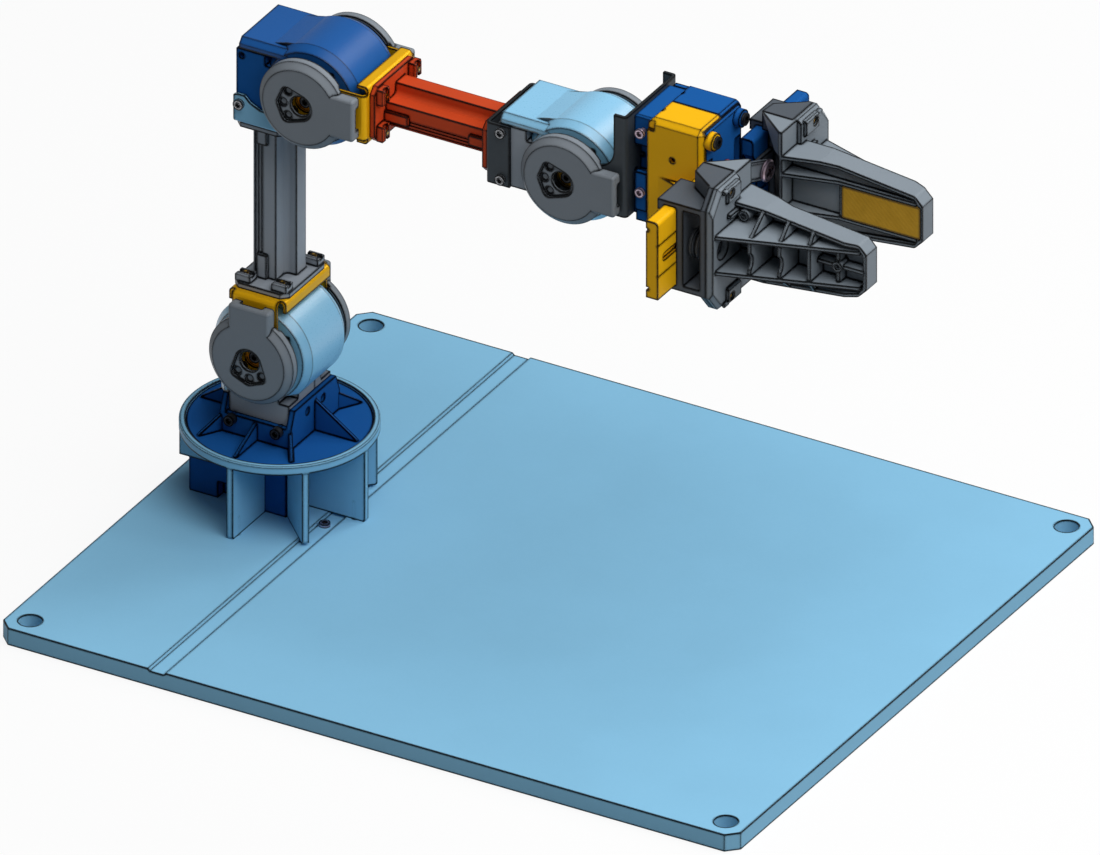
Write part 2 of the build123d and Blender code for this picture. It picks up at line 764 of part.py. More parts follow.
def wrist_mount():
    """A bent sheet frame behind the wrist servo, with sides over its rear holes."""
    back = -FORE_FLANGE_GAP
    inner = DEPTH_HALF + SLIP / 2
    outer = inner + MOUNT_SHEET
    frame = box(back, back + MOUNT_SIDE_REACH, -outer, outer, -CASE_HALF, CASE_HALF)
    frame = fillet(frame.edges().filter_by(Axis.Z).sort_by(Axis.X)[:2], 1.6)
    frame -= box(back + MOUNT_SHEET, back + 60, -inner, inner, -CASE_HALF - 1, CASE_HALF + 1)
    for x, side, z in side_hole_places():
        frame -= rod((x, side * (inner - 1), z), (0, side, 0), SCREW_RADIUS + SCREW_CLEAR, MOUNT_SHEET + 2)
    for y, z in end_places():
        frame -= rod((back - 1, y, z), (1, 0, 0), SCREW_RADIUS + SCREW_CLEAR, MOUNT_SHEET + 2)
    return frame


# base


def base_plate():
    """The flat base, with bolt holes at its corners and a shallow dovetail groove across it."""
    plate = box(-PLATE_BACK, PLATE_LENGTH - PLATE_BACK, -PLATE_WIDTH / 2, PLATE_WIDTH / 2, 0, PLATE_THICKNESS)
    plate = chamfer(plate.edges().filter_by(Axis.Z), PLATE_CORNER)
    for x in (-PLATE_BACK + BOLT_EDGE, PLATE_LENGTH - PLATE_BACK - BOLT_EDGE):
        for side in SIDES:
            plate -= rod(
                (x, side * (PLATE_WIDTH / 2 - BOLT_EDGE), -1), (0, 0, 1), BOLT_HOLE, PLATE_THICKNESS + 2
            )
    top = PLATE_THICKNESS
    groove = [
        (GROOVE_BACK - 1, top + 1),
        (GROOVE_BACK + GROOVE_DEPTH, top - GROOVE_DEPTH),
        (GROOVE_BACK + GROOVE_WIDTH - GROOVE_DEPTH, top - GROOVE_DEPTH),
        (GROOVE_BACK + GROOVE_WIDTH + 1, top + 1),
    ]
    plate -= plate_xz(groove, -PLATE_WIDTH / 2 - 1, PLATE_WIDTH / 2 + 1)
    for place in base_screw_places():
        plate -= rod((*place, -1), (0, 0, 1), SCREW_RADIUS + SCREW_CLEAR, PLATE_THICKNESS + 2)
        plate -= rod((*place, -1), (0, 0, 1), PAN_RADIUS + SLIP, 1 + FOOT_BORE)
    plate -= rod(
        (*PLATE_SCREW, PLATE_THICKNESS - PLATE_SCREW_DEPTH),
        (0, 0, 1),
        SCREW_RADIUS + THREAD_CLEAR,
        PLATE_THICKNESS,
    )
    return plate


def fin_angles():
    return (-90, -45, 0, 45, 90)


def yaw_servo():
    """The two case halves of the yaw servo, drilled for the two screws from below."""
    halves = [YAW * half for half in servo_case()]
    for place in base_screw_places()[:2]:
        hole = rod((*place, SERVO_FLOOR - 1), (0, 0, 1), SCREW_RADIUS + THREAD_CLEAR, THREAD_GRIP + 1.5)
        halves = [half - hole for half in halves]
    return halves


def base_screw_places():
    """Screws from below: two into the yaw servo's floor and one into each pedestal fin."""
    found = [(-29.0, 8.0), (-29.0, -8.0)]
    for angle in fin_angles():
        found.append((FIN_SCREW_RADIUS * cos(radians(angle)), FIN_SCREW_RADIUS * sin(radians(angle))))
    return found


def pedestal():
    """A ring on radial fins around the yaw servo, with two cheeks beside the servo's rear."""
    ring_low = RING_TOP - RING_HEIGHT
    inner = DISC_RADIUS + GAP
    ledge_top = DISC_TOP - DISC_THICKNESS - GAP
    ring = rod((0, 0, ring_low), (0, 0, 1), RING_RADIUS, RING_HEIGHT)
    ring = chamfer(ring.edges().filter_by(GeomType.CIRCLE).sort_by(Axis.Z)[-1], 0.5)
    ring -= rod((0, 0, ledge_top), (0, 0, 1), inner, RING_HEIGHT)
    ring -= rod((0, 0, ring_low - 1), (0, 0, 1), LEDGE_RADIUS, RING_HEIGHT)
    room_x = CASE_FRONT + SLIP
    room_y = CASE_HALF + SLIP
    for angle in fin_angles():
        fin = box(0, FIN_RADIUS, -FIN / 2, FIN / 2, PLATE_THICKNESS, ledge_top)
        fin = fillet(fin.edges().filter_by(Axis.Y).sort_by(Axis.X)[-2:].sort_by(Axis.Z)[0], 1.0)
        ring += Rot(0, 0, angle) * fin
    ring -= rod((0, 0, ledge_top - 0.01), (0, 0, 1), inner, 1)
    servo_top = SERVO_FLOOR + SERVO_DEPTH + SLIP
    servo_room = box(CASE_BACK - SLIP, room_x, -room_y, room_y, PLATE_THICKNESS - 1, servo_top)
    ring -= servo_room
    for side in SIDES:
        cheek = box(
            -CHEEK_BACK,
            -CHEEK_FRONT,
            side * room_y,
            side * (room_y + CHEEK_THICKNESS),
            CHEEK_BOTTOM,
            ledge_top,
        )
        ring += cheek & rod((0, 0, 0), (0, 0, 1), RING_RADIUS, RING_TOP)
    ring -= rod((0, 0, SERVO_FLOOR + SERVO_DEPTH + HORN_GAP / 2), (0, 0, 1), DISC_RADIUS - 8, 10)
    for place in base_screw_places()[2:]:
        ring -= rod((*place, PLATE_THICKNESS - 1), (0, 0, 1), PEDESTAL_SCREW + THREAD_CLEAR, 9.5)
    return ring


def base_screws():
    """The servo's and the fins' screws from under the plate, and one screw in the groove's floor."""
    seat = (*PLATE_SCREW, PLATE_THICKNESS - GROOVE_DEPTH)
    found = [screw(seat, (0, 0, -1), PLATE_SCREW_DEPTH - GROOVE_DEPTH - SLIP)]
    for place in base_screw_places():
        servo = place in base_screw_places()[:2]
        if servo:
            found.append(screw((*place, FOOT_BORE), (0, 0, 1), PLATE_THICKNESS - FOOT_BORE + THREAD_GRIP))
        else:
            found.append(
                screw((*place, FOOT_BORE), (0, 0, 1), PLATE_THICKNESS - FOOT_BORE + 8, radius=PEDESTAL_SCREW),
            )
    return found


def gusset(x, y, direction, top, reach):
    """A triangular web from a socket wall down to the disc."""
    shape = plate_xz(
        [(-1, DISC_TOP - 0.5), (-1, top), (0, top), (reach, DISC_TOP + 0.6), (reach, DISC_TOP - 0.5)],
        -GUSSET / 2,
        GUSSET / 2,
    )
    return Pos(x, y, 0) * Rot(0, 0, direction) * shape


def turntable():
    """The turning disc with a walled socket for the shoulder servo, braced by eight gussets."""
    disc = rod((0, 0, DISC_TOP - DISC_THICKNESS), (0, 0, 1), DISC_RADIUS, DISC_THICKNESS)
    table = disc + box(
        -SOCKET_OUT_X, SOCKET_OUT_X, -SOCKET_OUT_Y, SOCKET_OUT_Y, DISC_TOP - DISC_THICKNESS, SOCKET_LOW_TOP
    )
    for side in SIDES:
        wall = [
            (-SOCKET_OUT_Y, SOCKET_LOW_TOP - 1),
            (-SOCKET_OUT_Y, SOCKET_LOW_TOP),
            (-DEPTH_HALF, SOCKET_HIGH_TOP),
            (DEPTH_HALF, SOCKET_HIGH_TOP),
            (SOCKET_OUT_Y, SOCKET_LOW_TOP),
            (SOCKET_OUT_Y, SOCKET_LOW_TOP - 1),
        ]
        low, high = sorted((side * (CASE_HALF + SLIP), side * SOCKET_OUT_X))
        table += plate_yz(wall, low, high)
    for side in SIDES:
        table += gusset(side * SOCKET_OUT_X, 0, 0 if side > 0 else 180, 58.9, GUSSET_REACH - SOCKET_OUT_X)
        table += gusset(0, side * SOCKET_OUT_Y, 90 * side, 52.6, GUSSET_REACH - SOCKET_OUT_Y)
        for x in SIDES:
            lean = degrees(atan2(side * 9.0, x * 5.6))
            table += gusset(x * (SOCKET_OUT_X - 0.6), side * (SOCKET_OUT_Y - 0.6), lean, 52.4, 11.0)
    room = CASE_HALF + SLIP
    deep = DEPTH_HALF + SLIP
    table -= box(-room, room, -deep, deep, DISC_TOP + SOCKET_FLOOR, SOCKET_HIGH_TOP + 1)
    for x in SIDES:
        for side in SIDES:
            hole = (x * SIDE_HOLE_SPREAD, side * (SOCKET_OUT_Y + 1), SHOULDER_HEIGHT + SIDE_HOLE_X)
            table -= rod(hole, (0, -side, 0), SCREW_RADIUS + SCREW_CLEAR, 5)
            table -= rod((x * (SOCKET_OUT_X + 1), side * 6.4, 56.3), (-x, 0, 0), SOCKET_HOLE, 4)
    horn_top = SERVO_FLOOR + SERVO_DEPTH + HORN_GAP + HORN_THICKNESS
    table -= rod(
        (0, 0, DISC_TOP - DISC_THICKNESS - 1),
        (0, 0, 1),
        HORN_RADIUS + SLIP / 2,
        horn_top - DISC_TOP + DISC_THICKNESS + 1,
    )
    for x, y in horn_places():
        table -= rod((x, y, DISC_TOP - 2), (0, 0, 1), SCREW_RADIUS + SCREW_CLEAR, 10)
    table -= rod((0, 0, DISC_TOP - 2), (0, 0, 1), CENTRE_SCREW + GAP, 10)
    return table


def yaw_horn():
    return YAW * horn(1)


def turntable_screws():
    """Socket screws through the socket walls, and the four into the yaw horn."""
    found = []
    for x in SIDES:
        for side in SIDES:
            seat = (x * SIDE_HOLE_SPREAD, side * SOCKET_OUT_Y, SHOULDER_HEIGHT + SIDE_HOLE_X)
            found.append(
                screw(
                    seat,
                    (0, -side, 0),
                    SOCKET_OUT_Y - DEPTH_HALF + 4,
                    head_radius=CAP_RADIUS + 0.2,
                    head_height=CAP_HEIGHT + 0.9,
                ),
            )
    floor = DISC_TOP + SOCKET_FLOOR
    horn_low = SERVO_FLOOR + SERVO_DEPTH + HORN_GAP
    for x, y in horn_places():
        found.append(screw((x, y, floor), (0, 0, -1), floor - horn_low - GAP * 1.5, head_radius=2.1))
    return found


# hand, in the wrist's frame


def hand_screw_places():
    """The screws between the hand frame's web and the gripper servo, as (side, up)."""
    return [(side * HAND_SCREW_SIDE, z) for z in HAND_SCREW_UP for side in SIDES]


def hand_frame():
    """The bent sheet frame from the wrist horns to the gripper servo, taller above the axis than below."""
    frame = ear(1) + ear(-1)
    hoop = Pos(0, 0, -HAND_BOTTOM) * bent_hoop(HAND_TOP + HAND_BOTTOM)
    frame += hoop & box(WEB_REACH - HAND_FLANGE, WEB_REACH + 1, -BIG, BIG, -HAND_BOTTOM - 1, HAND_TOP + 1)
    fillet_x = WEB_REACH - HAND_FLANGE
    corner = EAR_HALF + HAND_FILLET
    for side in SIDES:
        web = box(
            fillet_x - HAND_FILLET, fillet_x + LAP, side * EAR_INNER, side * EAR_OUTER, EAR_HALF - LAP, corner
        )
        web -= rod(
            (fillet_x - HAND_FILLET, side * (EAR_INNER - 1), corner), (0, side, 0), HAND_FILLET, SHEET + 2
        )
        frame += web
    for y, z in hand_screw_places():
        frame -= rod((WEB_REACH - SHEET - 1, y, z), (1, 0, 0), SCREW_RADIUS + SCREW_CLEAR, SHEET + 2)
    for z in HAND_PILOT_UP:
        frame -= rod((WEB_REACH - SHEET - 1, -HAND_PILOT_SIDE, z), (1, 0, 0), SCREW_RADIUS, SHEET + 2)
    frame -= rod((WEB_REACH - SHEET - 1, 0, 0), (1, 0, 0), EAR_BORE, SHEET + 2)
    return frame


def hand_screws():
    """The screws that hold the gripper servo to the hand frame's web."""
    return [
        screw((WEB_REACH - SHEET, y, z), (1, 0, 0), SHEET + THREAD_GRIP, head_height=HAND_HEAD)
        for y, z in hand_screw_places()
    ]


def gripper_servo():
    """The two case halves of the gripper servo, drilled for the hand screws."""
    halves = [GRIP * half for half in servo_case()]
    for y, z in hand_screw_places():
        hole = WRIST * rod((WEB_REACH - 1, y, z), (1, 0, 0), SCREW_RADIUS + THREAD_CLEAR, THREAD_GRIP + 1.5)
        halves = [half - hole for half in halves]
    return halves


def shell_room():
    """The space that the gripper servo takes inside its housing."""
    across = CASE_HALF + SLIP / 2
    return box(
        WEB_REACH - 1, GRIP_FACE + 0.01, -across, across, -CASE_FRONT - SLIP, -CASE_BACK + SLIP
    )


def gusset_and_rail():
    """A curved web from the housing's side out to the guide rail, for the +Y side."""
    root = SHELL_HALF - 1
    curve = Spline(
        (SHELL_BACK, SHELL_HALF),
        (SHELL_BACK + 12.0, SHELL_HALF + 1.6),
        (SHELL_BACK + 20.0, SHELL_HALF + 6.5),
        (RAIL_BACK + 1, GUSSET_END),
    )
    rest = Polyline(
        (RAIL_BACK + 1, GUSSET_END), (RAIL_BACK + 1, root), (SHELL_BACK, root), (SHELL_BACK, SHELL_HALF)
    )
    plan = Pos(0, 0, -GUSSET_HALF) * extrude(make_face([curve, rest]), 2 * GUSSET_HALF)
    side_view = [
        (root - 1, GUSSET_TOP),
        (RAIL_INNER, GUSSET_TOP),
        ((RAIL_INNER + GUSSET_END) / 2, GUSSET_TOP * 0.7),
        (GUSSET_END + 1, 0),
        (GUSSET_END + 1, -GUSSET_HALF),
        (root - 1, -GUSSET_HALF),
    ]
    gusset_web = plan & plate_yz(side_view, SHELL_BACK - 1, RAIL_BACK + 2)
    front = RAIL_BACK + RAIL_THICKNESS
    rail = box(RAIL_BACK, front, root, RAIL_OUTER, -RAIL_HALF, RAIL_HALF)
    crown = [e for e in rail.edges().filter_by(Axis.Y) if e.center().X > front - 0.1 and e.center().Z > 0]
    rail = fillet(crown, RAIL_ROUND)
    for z in SIDES:
        rail -= box(
            RAIL_BACK - 1, RAIL_BACK + RAIL_SLOT, RAIL_INNER, RAIL_OUTER + 1,
            z * (RAIL_HALF - RAIL_HOOK), z * (RAIL_HALF - RAIL_HOOK - RAIL_SLOT),
        )
        line = z * RAIL_LINE
        rail -= box(
            front - LINE_CUT,
            front + 1,
            RAIL_INNER,
            RAIL_OUTER + 1,
            line - LINE_CUT / 2,
            line + LINE_CUT / 2,
        )
    slot_half = SLOT_LENGTH / 2 - SLOT_WIDTH / 2
    slot = box(
        front - RAIL_SLOT,
        front + 1,
        SLOT_SIDE - slot_half,
        SLOT_SIDE + slot_half,
        -SLOT_WIDTH / 2,
        SLOT_WIDTH / 2,
    )
    for end in SIDES:
        slot += rod(
            (front - RAIL_SLOT, SLOT_SIDE + end * slot_half, 0), (1, 0, 0), SLOT_WIDTH / 2, RAIL_SLOT + 1
        )
    return gusset_web + rail - slot


def gripper_shell(side):
    """One half of the gripper housing, with its gusset and its rail."""
    body = box(SHELL_BACK, GRIP_FACE, SPLIT / 2, SHELL_HALF, -SHELL_BOTTOM, SHELL_TOP)
    edges = [e for e in body.edges() if e.center().Z > SHELL_TOP - 0.1 and e.center().Y > 0.5]
    edges += [e for e in body.edges().filter_by(Axis.Z) if e.center().Y > 1 and e.center().X > SHELL_BACK + 1]
    body = chamfer(edges, SHELL_EDGE)
    body += rod((GRIP_FACE - 0.5, BOSS_SIDE, BOSS_UP), (1, 0, 0), BOSS_RADIUS, BOSS_HEIGHT + 0.5)
    body += gusset_and_rail()
    window = CRANK_RADIUS + CRANK_END + GAP
    body -= rod((GRIP_FACE, 0, 0), (1, 0, 0), window, RAIL_BACK + RAIL_THICKNESS - GRIP_FACE + 1)
    body -= rod((GRIP_FACE - 1, 0, 0), (1, 0, 0), HORN_RADIUS + GAP, 10)
    body -= rod((SHELL_BACK + SHELL_HOLE_BACK, SHELL_HALF + 1, SHELL_HOLE_UP), (0, -1, 0), SCREW_RADIUS, 3)
    notch_z = SHELL_TOP - SHELL_EDGE
    body -= box(
        SHELL_BACK - 1, SHELL_BACK + 3.5, SHELL_HALF - 1.2, SHELL_HALF + 1, notch_z - 3.0, SHELL_TOP + 1
    )
    keyhole_x = SHELL_BACK + KEYHOLE_BACK
    body -= rod((keyhole_x, HAND_SCREW_SIDE, SHELL_TOP + 1), (0, 0, -1), KEYHOLE_RADIUS, 4)
    body -= box(
        SHELL_BACK - 1, keyhole_x, HAND_SCREW_SIDE - KEYHOLE_RADIUS, HAND_SCREW_SIDE + KEYHOLE_RADIUS,
        SHELL_TOP - 3, SHELL_TOP + 1,
    )
    body -= rod(
        (GRIP_FACE + BOSS_HEIGHT + 1, BOSS_SIDE, BOSS_UP),
        (-1, 0, 0),
        SCREW_RADIUS + THREAD_CLEAR,
        BOSS_HEIGHT + 3,
    )
    if side > 0:
        body += back_collar()
    body -= shell_room()
    for y_side, z in shell_screw_places():
        start = ((COLLAR_BACK + SHELL_BACK) / 2, y_side * (SHELL_HALF + 1), z)
        body -= rod(start, (0, -y_side, 0), SCREW_RADIUS + THREAD_CLEAR, 5)
    return mirrored(max(body.solids(), key=lambda s: s.volume), side)


def back_collar():
    """The +Y half's clamp around the servo's back: two lugs on each side, joined over and under the case."""
    collar = box(COLLAR_BACK, SHELL_BACK - SLIP, -SHELL_HALF, SHELL_HALF, COLLAR_HIGH, SHELL_TOP - 2.0)
    low = -CASE_FRONT - SLIP - COLLAR_WALL
    collar += box(COLLAR_BACK, SHELL_BACK - SLIP, -SHELL_HALF, SHELL_HALF, -COLLAR_LOW, COLLAR_MID)
    collar += box(COLLAR_BACK, SHELL_BACK - SLIP, -SHELL_HALF + 1, SHELL_HALF, low, -COLLAR_LOW + LAP)
    collar += box(SHELL_BACK - 1, SHELL_BACK + 1, SPLIT / 2, SHELL_HALF, -COLLAR_LOW, COLLAR_MID)
    return collar + box(SHELL_BACK - 1, SHELL_BACK + 1, SPLIT / 2, SHELL_HALF, COLLAR_HIGH, SHELL_TOP - 2.0)


def shell_screw_places():
    """The side screws in the collar's lugs, as (side, up)."""
    return [
        (side, z) for side in SIDES for z in ((COLLAR_MID - COLLAR_LOW) / 2, (COLLAR_HIGH + SHELL_TOP) / 2)
    ]


def gripper_shell_screws():
    """Side screws of the housing and the two socket screws in its front bosses."""
    shank = SHELL_HALF - CASE_HALF - SLIP / 2
    found = [
        screw(((COLLAR_BACK + SHELL_BACK) / 2, side * SHELL_HALF, z), (0, -side, 0), shank, head_radius=2.2)
        for side, z in shell_screw_places()
    ]
    for side in SIDES:
        seat = (GRIP_FACE + BOSS_HEIGHT, side * BOSS_SIDE, BOSS_UP)
        found.append(screw(seat, (-1, 0, 0), BOSS_HEIGHT - SLIP, head_radius=BOSS_HEAD, head_height=LOW_HEAD))
    return found


def crank_pin():
    """The +Y rod's crank end at rest, in Y and Z."""
    along = sqrt(ROD_LENGTH**2 - ROD_DROP**2)
    return ROD_PIVOT_SIDE - along, ROD_PIVOT_UP + ROD_DROP


def hull_plate(circles, x0, thickness):
    """A flat plate in Y and Z around circles given as (y, z, radius)."""
    edges = [edge for y, z, radius in circles for edge in (Pos(y, z) * Circle(radius)).edges()]
    return Pos(x0, 0, 0) * extrude(Plane.YZ * make_face(make_hull(ShapeList(edges))), thickness)


def crank():
    """A two-armed crank on the gripper servo's horn, with a raised seat under each rod."""
    y, z = crank_pin()
    body = hull_plate(
        [(0, 0, CRANK_HUB), (y, z, CRANK_END), (-y, -z, CRANK_END)], CRANK_BACK, CRANK_THICKNESS
    )
    body -= rod((CRANK_BACK - 1, 0, 0), (1, 0, 0), SCREW_RADIUS + SCREW_CLEAR, CRANK_THICKNESS + 2)
    for side in SIDES:
        seat = (CRANK_BACK, side * y, side * z)
        body += rod(seat, (1, 0, 0), PIVOT_PIN + 1, ROD_BACK - CRANK_BACK - GAP)
    return body


def gripper_horn():
    """The gripper servo's output disc, with a hole for the crank's screw."""
    disc = horn(1)
    return disc - rod(
        (0, HORN_FACE - HORN_GAP - HORN_BOSS - 1, 0), (0, 1, 0), SCREW_RADIUS + THREAD_CLEAR, 12
    )


def crank_screw():
    """The screw through the crank into the horn."""
    return screw(
        (CRANK_BACK + CRANK_THICKNESS, 0, 0),
        (-1, 0, 0),
        CRANK_THICKNESS + HORN_THICKNESS,
        head_height=LOW_HEAD,
    )


def finger_rod(side):
    """A flat rod with raised rims and the pivot screw in its crank end."""
    y, z = crank_pin()
    ends = [(side * y, side * z), (side * ROD_PIVOT_SIDE, side * ROD_PIVOT_UP)]
    body = hull_plate([(*end, ROD_HALF) for end in ends], ROD_BACK, ROD_THICKNESS)
    body -= hull_plate([(*end, ROD_HALF - ROD_RIM) for end in ends], ROD_BACK + ROD_THICKNESS - 0.5, 1)
    for end in ends:
        body += rod((ROD_BACK, *end), (1, 0, 0), PIVOT_PIN + 1.4, ROD_THICKNESS)
    for end in ends:
        body -= rod((ROD_BACK - 1, *end), (1, 0, 0), PIVOT_PIN + RUN_FIT, ROD_THICKNESS + 2)
    return [body, pivot_screw(*ends[0], ROD_BACK)]


def pivot_screw(y, z, tip_x):
    """A large-headed pivot screw in front of a rod, with a cross slot, whose shank ends at tip_x."""
    seat = (ROD_BACK + ROD_THICKNESS + RUN_FIT, y, z)
    head = rod(seat, (1, 0, 0), PIVOT_HEAD, PIVOT_HEAD_HEIGHT)
    head = chamfer(head.edges().filter_by(GeomType.CIRCLE).sort_by(Axis.X)[-1], 0.8)
    for angle in (20, 110):
        bar = box(PIVOT_HEAD_HEIGHT - SOCKET_DEPTH, PIVOT_HEAD_HEIGHT + 1, -2.6, 2.6, -0.5, 0.5)
        head -= Pos(*seat) * Rot(angle, 0, 0) * bar
    return head + rod(seat, (-1, 0, 0), PIVOT_PIN, seat[0] - tip_x)


def shoulder_outline():
    """The cut-cornered outline that the carriage's front and the palm share, without its inner edge."""
    flat = PALM_OUTER - PALM_CUT
    return [(flat, PALM_HALF), (PALM_OUTER, CARRIAGE_HALF), (PALM_OUTER, -CARRIAGE_HALF), (flat, -PALM_HALF)]


def carriage(side):
    """The slider that runs on one rail, with a window over its roller and a lug for the rod."""
    body = box(CARRIAGE_BACK, CARRIAGE_FRONT, CARRIAGE_INNER, PALM_OUTER, -CARRIAGE_HALF, CARRIAGE_HALF)
    rim = [(WEDGE_INNER, -PALM_HALF), (WEDGE_INNER, PALM_HALF), *shoulder_outline()]
    body += plate_yz(rim, CARRIAGE_FRONT - CARRIAGE_RIM, CARRIAGE_FRONT)
    wedge = [
        (WEDGE_BACK, WEDGE_INNER),
        (WEDGE_BACK + 0.7, WEDGE_INNER + 7.7),
        (CARRIAGE_FRONT - 1.5, PALM_OUTER - PALM_CUT),
        (CARRIAGE_FRONT, PALM_OUTER - PALM_CUT),
        (CARRIAGE_FRONT, WEDGE_INNER),
    ]
    top = CARRIAGE_HALF - 1
    for low, high in ((-PALM_HALF, -top), (top, PALM_HALF)):
        body += plate_xy(wedge, low, high)
    fit = RAIL_FIT
    rail_front = RAIL_BACK + RAIL_THICKNESS
    inner, outer = WEDGE_INNER - 1, PALM_OUTER + 1
    body -= box(RAIL_BACK - fit, rail_front + fit, inner, outer, -RAIL_HALF - fit, RAIL_HALF + fit)
    body -= box(CARRIAGE_BACK - 1, RAIL_BACK + 1, inner, outer, -HOOK_GAP, HOOK_GAP)
    body -= box(WINDOW_BACK, WINDOW_FRONT, inner, outer, -WINDOW_HALF, WINDOW_HALF)
    body -= rod(
        (CARRIAGE_FRONT + 1, ROLLER_SIDE, 0),
        (-1, 0, 0),
        AXLE_RADIUS + THREAD_CLEAR,
        CARRIAGE_FRONT - WINDOW_BACK + 2,
    )
    body -= box(rail_front, CARRIAGE_FRONT + 1, WEDGE_INNER - 1, CARRIAGE_INNER, -WINDOW_HALF, WINDOW_HALF)
    for z in SIDES:
        start = (CARRIAGE_FRONT + 1, PALM_SCREW_SIDE, z * PALM_SCREW_UP)
        body -= rod(start, (-1, 0, 0), SCREW_RADIUS + THREAD_CLEAR, CARRIAGE_RIM + 1.2)
    pivot = (ROD_PIVOT_SIDE, side * ROD_PIVOT_UP)
    lug = box(
        LUG_BACK,
        LUG_BACK + LUG_THICKNESS,
        pivot[0],
        CARRIAGE_INNER + 2,
        pivot[1] - LUG_HALF,
        pivot[1] + LUG_HALF,
    )
    lug += rod((LUG_BACK, *pivot), (1, 0, 0), LUG_HALF, LUG_THICKNESS)
    lug -= rod((LUG_BACK - 1, *pivot), (1, 0, 0), PIVOT_PIN + THREAD_CLEAR, LUG_THICKNESS + 2)
    return mirrored(body + lug, side)


def roller(side):
    """The grooved guide roller and its axle in the carriage's window."""
    mid = (WINDOW_BACK + WINDOW_FRONT) / 2
    half = ROLLER_WIDTH / 2
    profile = [
        (mid - half, AXLE_RADIUS + RUN_FIT),
        (mid - half, ROLLER_RADIUS - 0.5),
        (mid - half + 0.5, ROLLER_RADIUS),
        (mid - 1.0, ROLLER_RADIUS),
        (mid, ROLLER_RADIUS - 1.2),
        (mid + 1.0, ROLLER_RADIUS),
        (mid + half - 0.5, ROLLER_RADIUS),
        (mid + half, ROLLER_RADIUS - 0.5),
        (mid + half, AXLE_RADIUS + RUN_FIT),
    ]
    wheel = revolve(make_face(Polyline(*profile, close=True)), Axis.X)
    axle = rod((WINDOW_BACK - 0.5, 0, 0), (1, 0, 0), AXLE_RADIUS, CARRIAGE_FRONT - WINDOW_BACK)
    return [Pos(0, side * ROLLER_SIDE, 0) * wheel, Pos(0, side * ROLLER_SIDE, 0) * axle]


def palm():
    """The finger's root on the carriage, with a slanted block and a screw tower above and below."""
    body = plate_yz(
        [(PALM_INNER, -PALM_HALF), (PALM_INNER, PALM_HALF), *shoulder_outline()], CARRIAGE_FRONT, PALM_FRONT
    )
    rim = [e for e in body.edges() if e.center().X > PALM_FRONT - 0.1 and abs(e.center().Z) > CARRIAGE_HALF]
    body = chamfer(rim, PALM_EDGE)
    body -= box(PALM_FRONT - PALM_STEP, PALM_FRONT + 1, PALM_INNER - 1, STEP_SIDE, -BIG, BIG)
    plan = [
        (WEDGE_BACK, WEDGE_INNER - SLIP),
        (CARRIAGE_FRONT + LAP, WEDGE_INNER - SLIP),
        (CARRIAGE_FRONT + LAP, PALM_INNER),
        (CARRIAGE_FRONT - 0.2, PALM_INNER),
    ]
    for z in SIDES:
        low, high = sorted((z * BLOCK_LOW, z * PALM_HALF))
        block = plate_xy(plan, low, high)
        block &= plate_xz(
            [
                (WEDGE_BACK, z * PALM_HALF),
                (BLOCK_KNEE, z * BLOCK_LOW),
                (PALM_FRONT, z * BLOCK_LOW),
                (PALM_FRONT, z * PALM_HALF),
            ],
            0,
            PALM_OUTER,
        )
        pocket = (CARRIAGE_FRONT - 6.0, PALM_INNER + 4.5, z * (PALM_HALF - 7.0))
        block -= rod(pocket, (-1, -1.3, 0), SCREW_RADIUS + 0.9, 10)
        body += block
        tower_top = z * (PALM_HALF - 1.2)
        step = box(PALM_FRONT - 1, TOWER_FRONT, TOWER_NEAR, TOWER_FAR, z * TOWER_LOW, tower_top)
        front_edge = [e for e in step.edges().filter_by(Axis.Y) if e.center().X > PALM_FRONT + 1]
        body += chamfer(front_edge, 0.8)
        body -= rod(
            (TOWER_FRONT + 1, PALM_SCREW_SIDE, z * PALM_SCREW_UP),
            (-1, 0, 0),
            SCREW_RADIUS + 0.7,
            1 + TIP_POCKET,
        )
        body += rod((TOWER_FRONT - 0.9, TOWER_FAR, z * (PALM_SCREW_UP + 2.2)), (0, 1, 0), 0.9, 3.0)
    body -= rod((PALM_FRONT + 1, ROLLER_SIDE, 0), (-1, 0, 0), ROLLER_VIEW, PALM_FRONT - CARRIAGE_FRONT + 2)
    for z in SIDES:
        start = (TOWER_FRONT + 1, PALM_SCREW_SIDE, z * PALM_SCREW_UP)
        body -= rod(start, (-1, 0, 0), SCREW_RADIUS + THREAD_CLEAR, TOWER_FRONT - CARRIAGE_FRONT + 2)
    return body


def rib_limit():
    """The block that bounds the finger's long ribs: wide at the palm and slanting toward the tip."""
    return plate_xy(
        [
            (PALM_FRONT - PALM_STEP - LAP, PALM_INNER),
            (PANEL_START, PAD_FACE),
            (FINGER_TIP, PAD_FACE),
            (FINGER_TIP, FINGER_END),
            (RIB_END, FINGER_END),
            (PALM_FRONT, FINGER_ROOT),
            (PALM_FRONT - PALM_STEP - LAP, FINGER_ROOT),
        ],
        -BIG,
        BIG,
    )


def side_profile(inset):
    """The finger's outline seen from the side, in X and Z, drawn in by inset."""
    upper = [
        (PALM_FRONT - PALM_STEP - LAP, FINGER_ROOT_HALF - inset),
        (CREASE, FINGER_ROOT_HALF - inset),
        (NOSE, FINGER_TIP_HALF - inset),
        (FINGER_TIP - inset, FINGER_NOSE_HALF - inset / 2),
    ]
    return upper + [(x, -z) for x, z in reversed(upper)]


def rib_reach(x):
    """How far out the long ribs stand at x."""
    return FINGER_ROOT - (FINGER_ROOT - FINGER_END) * (x - PALM_FRONT) / (RIB_END - PALM_FRONT)


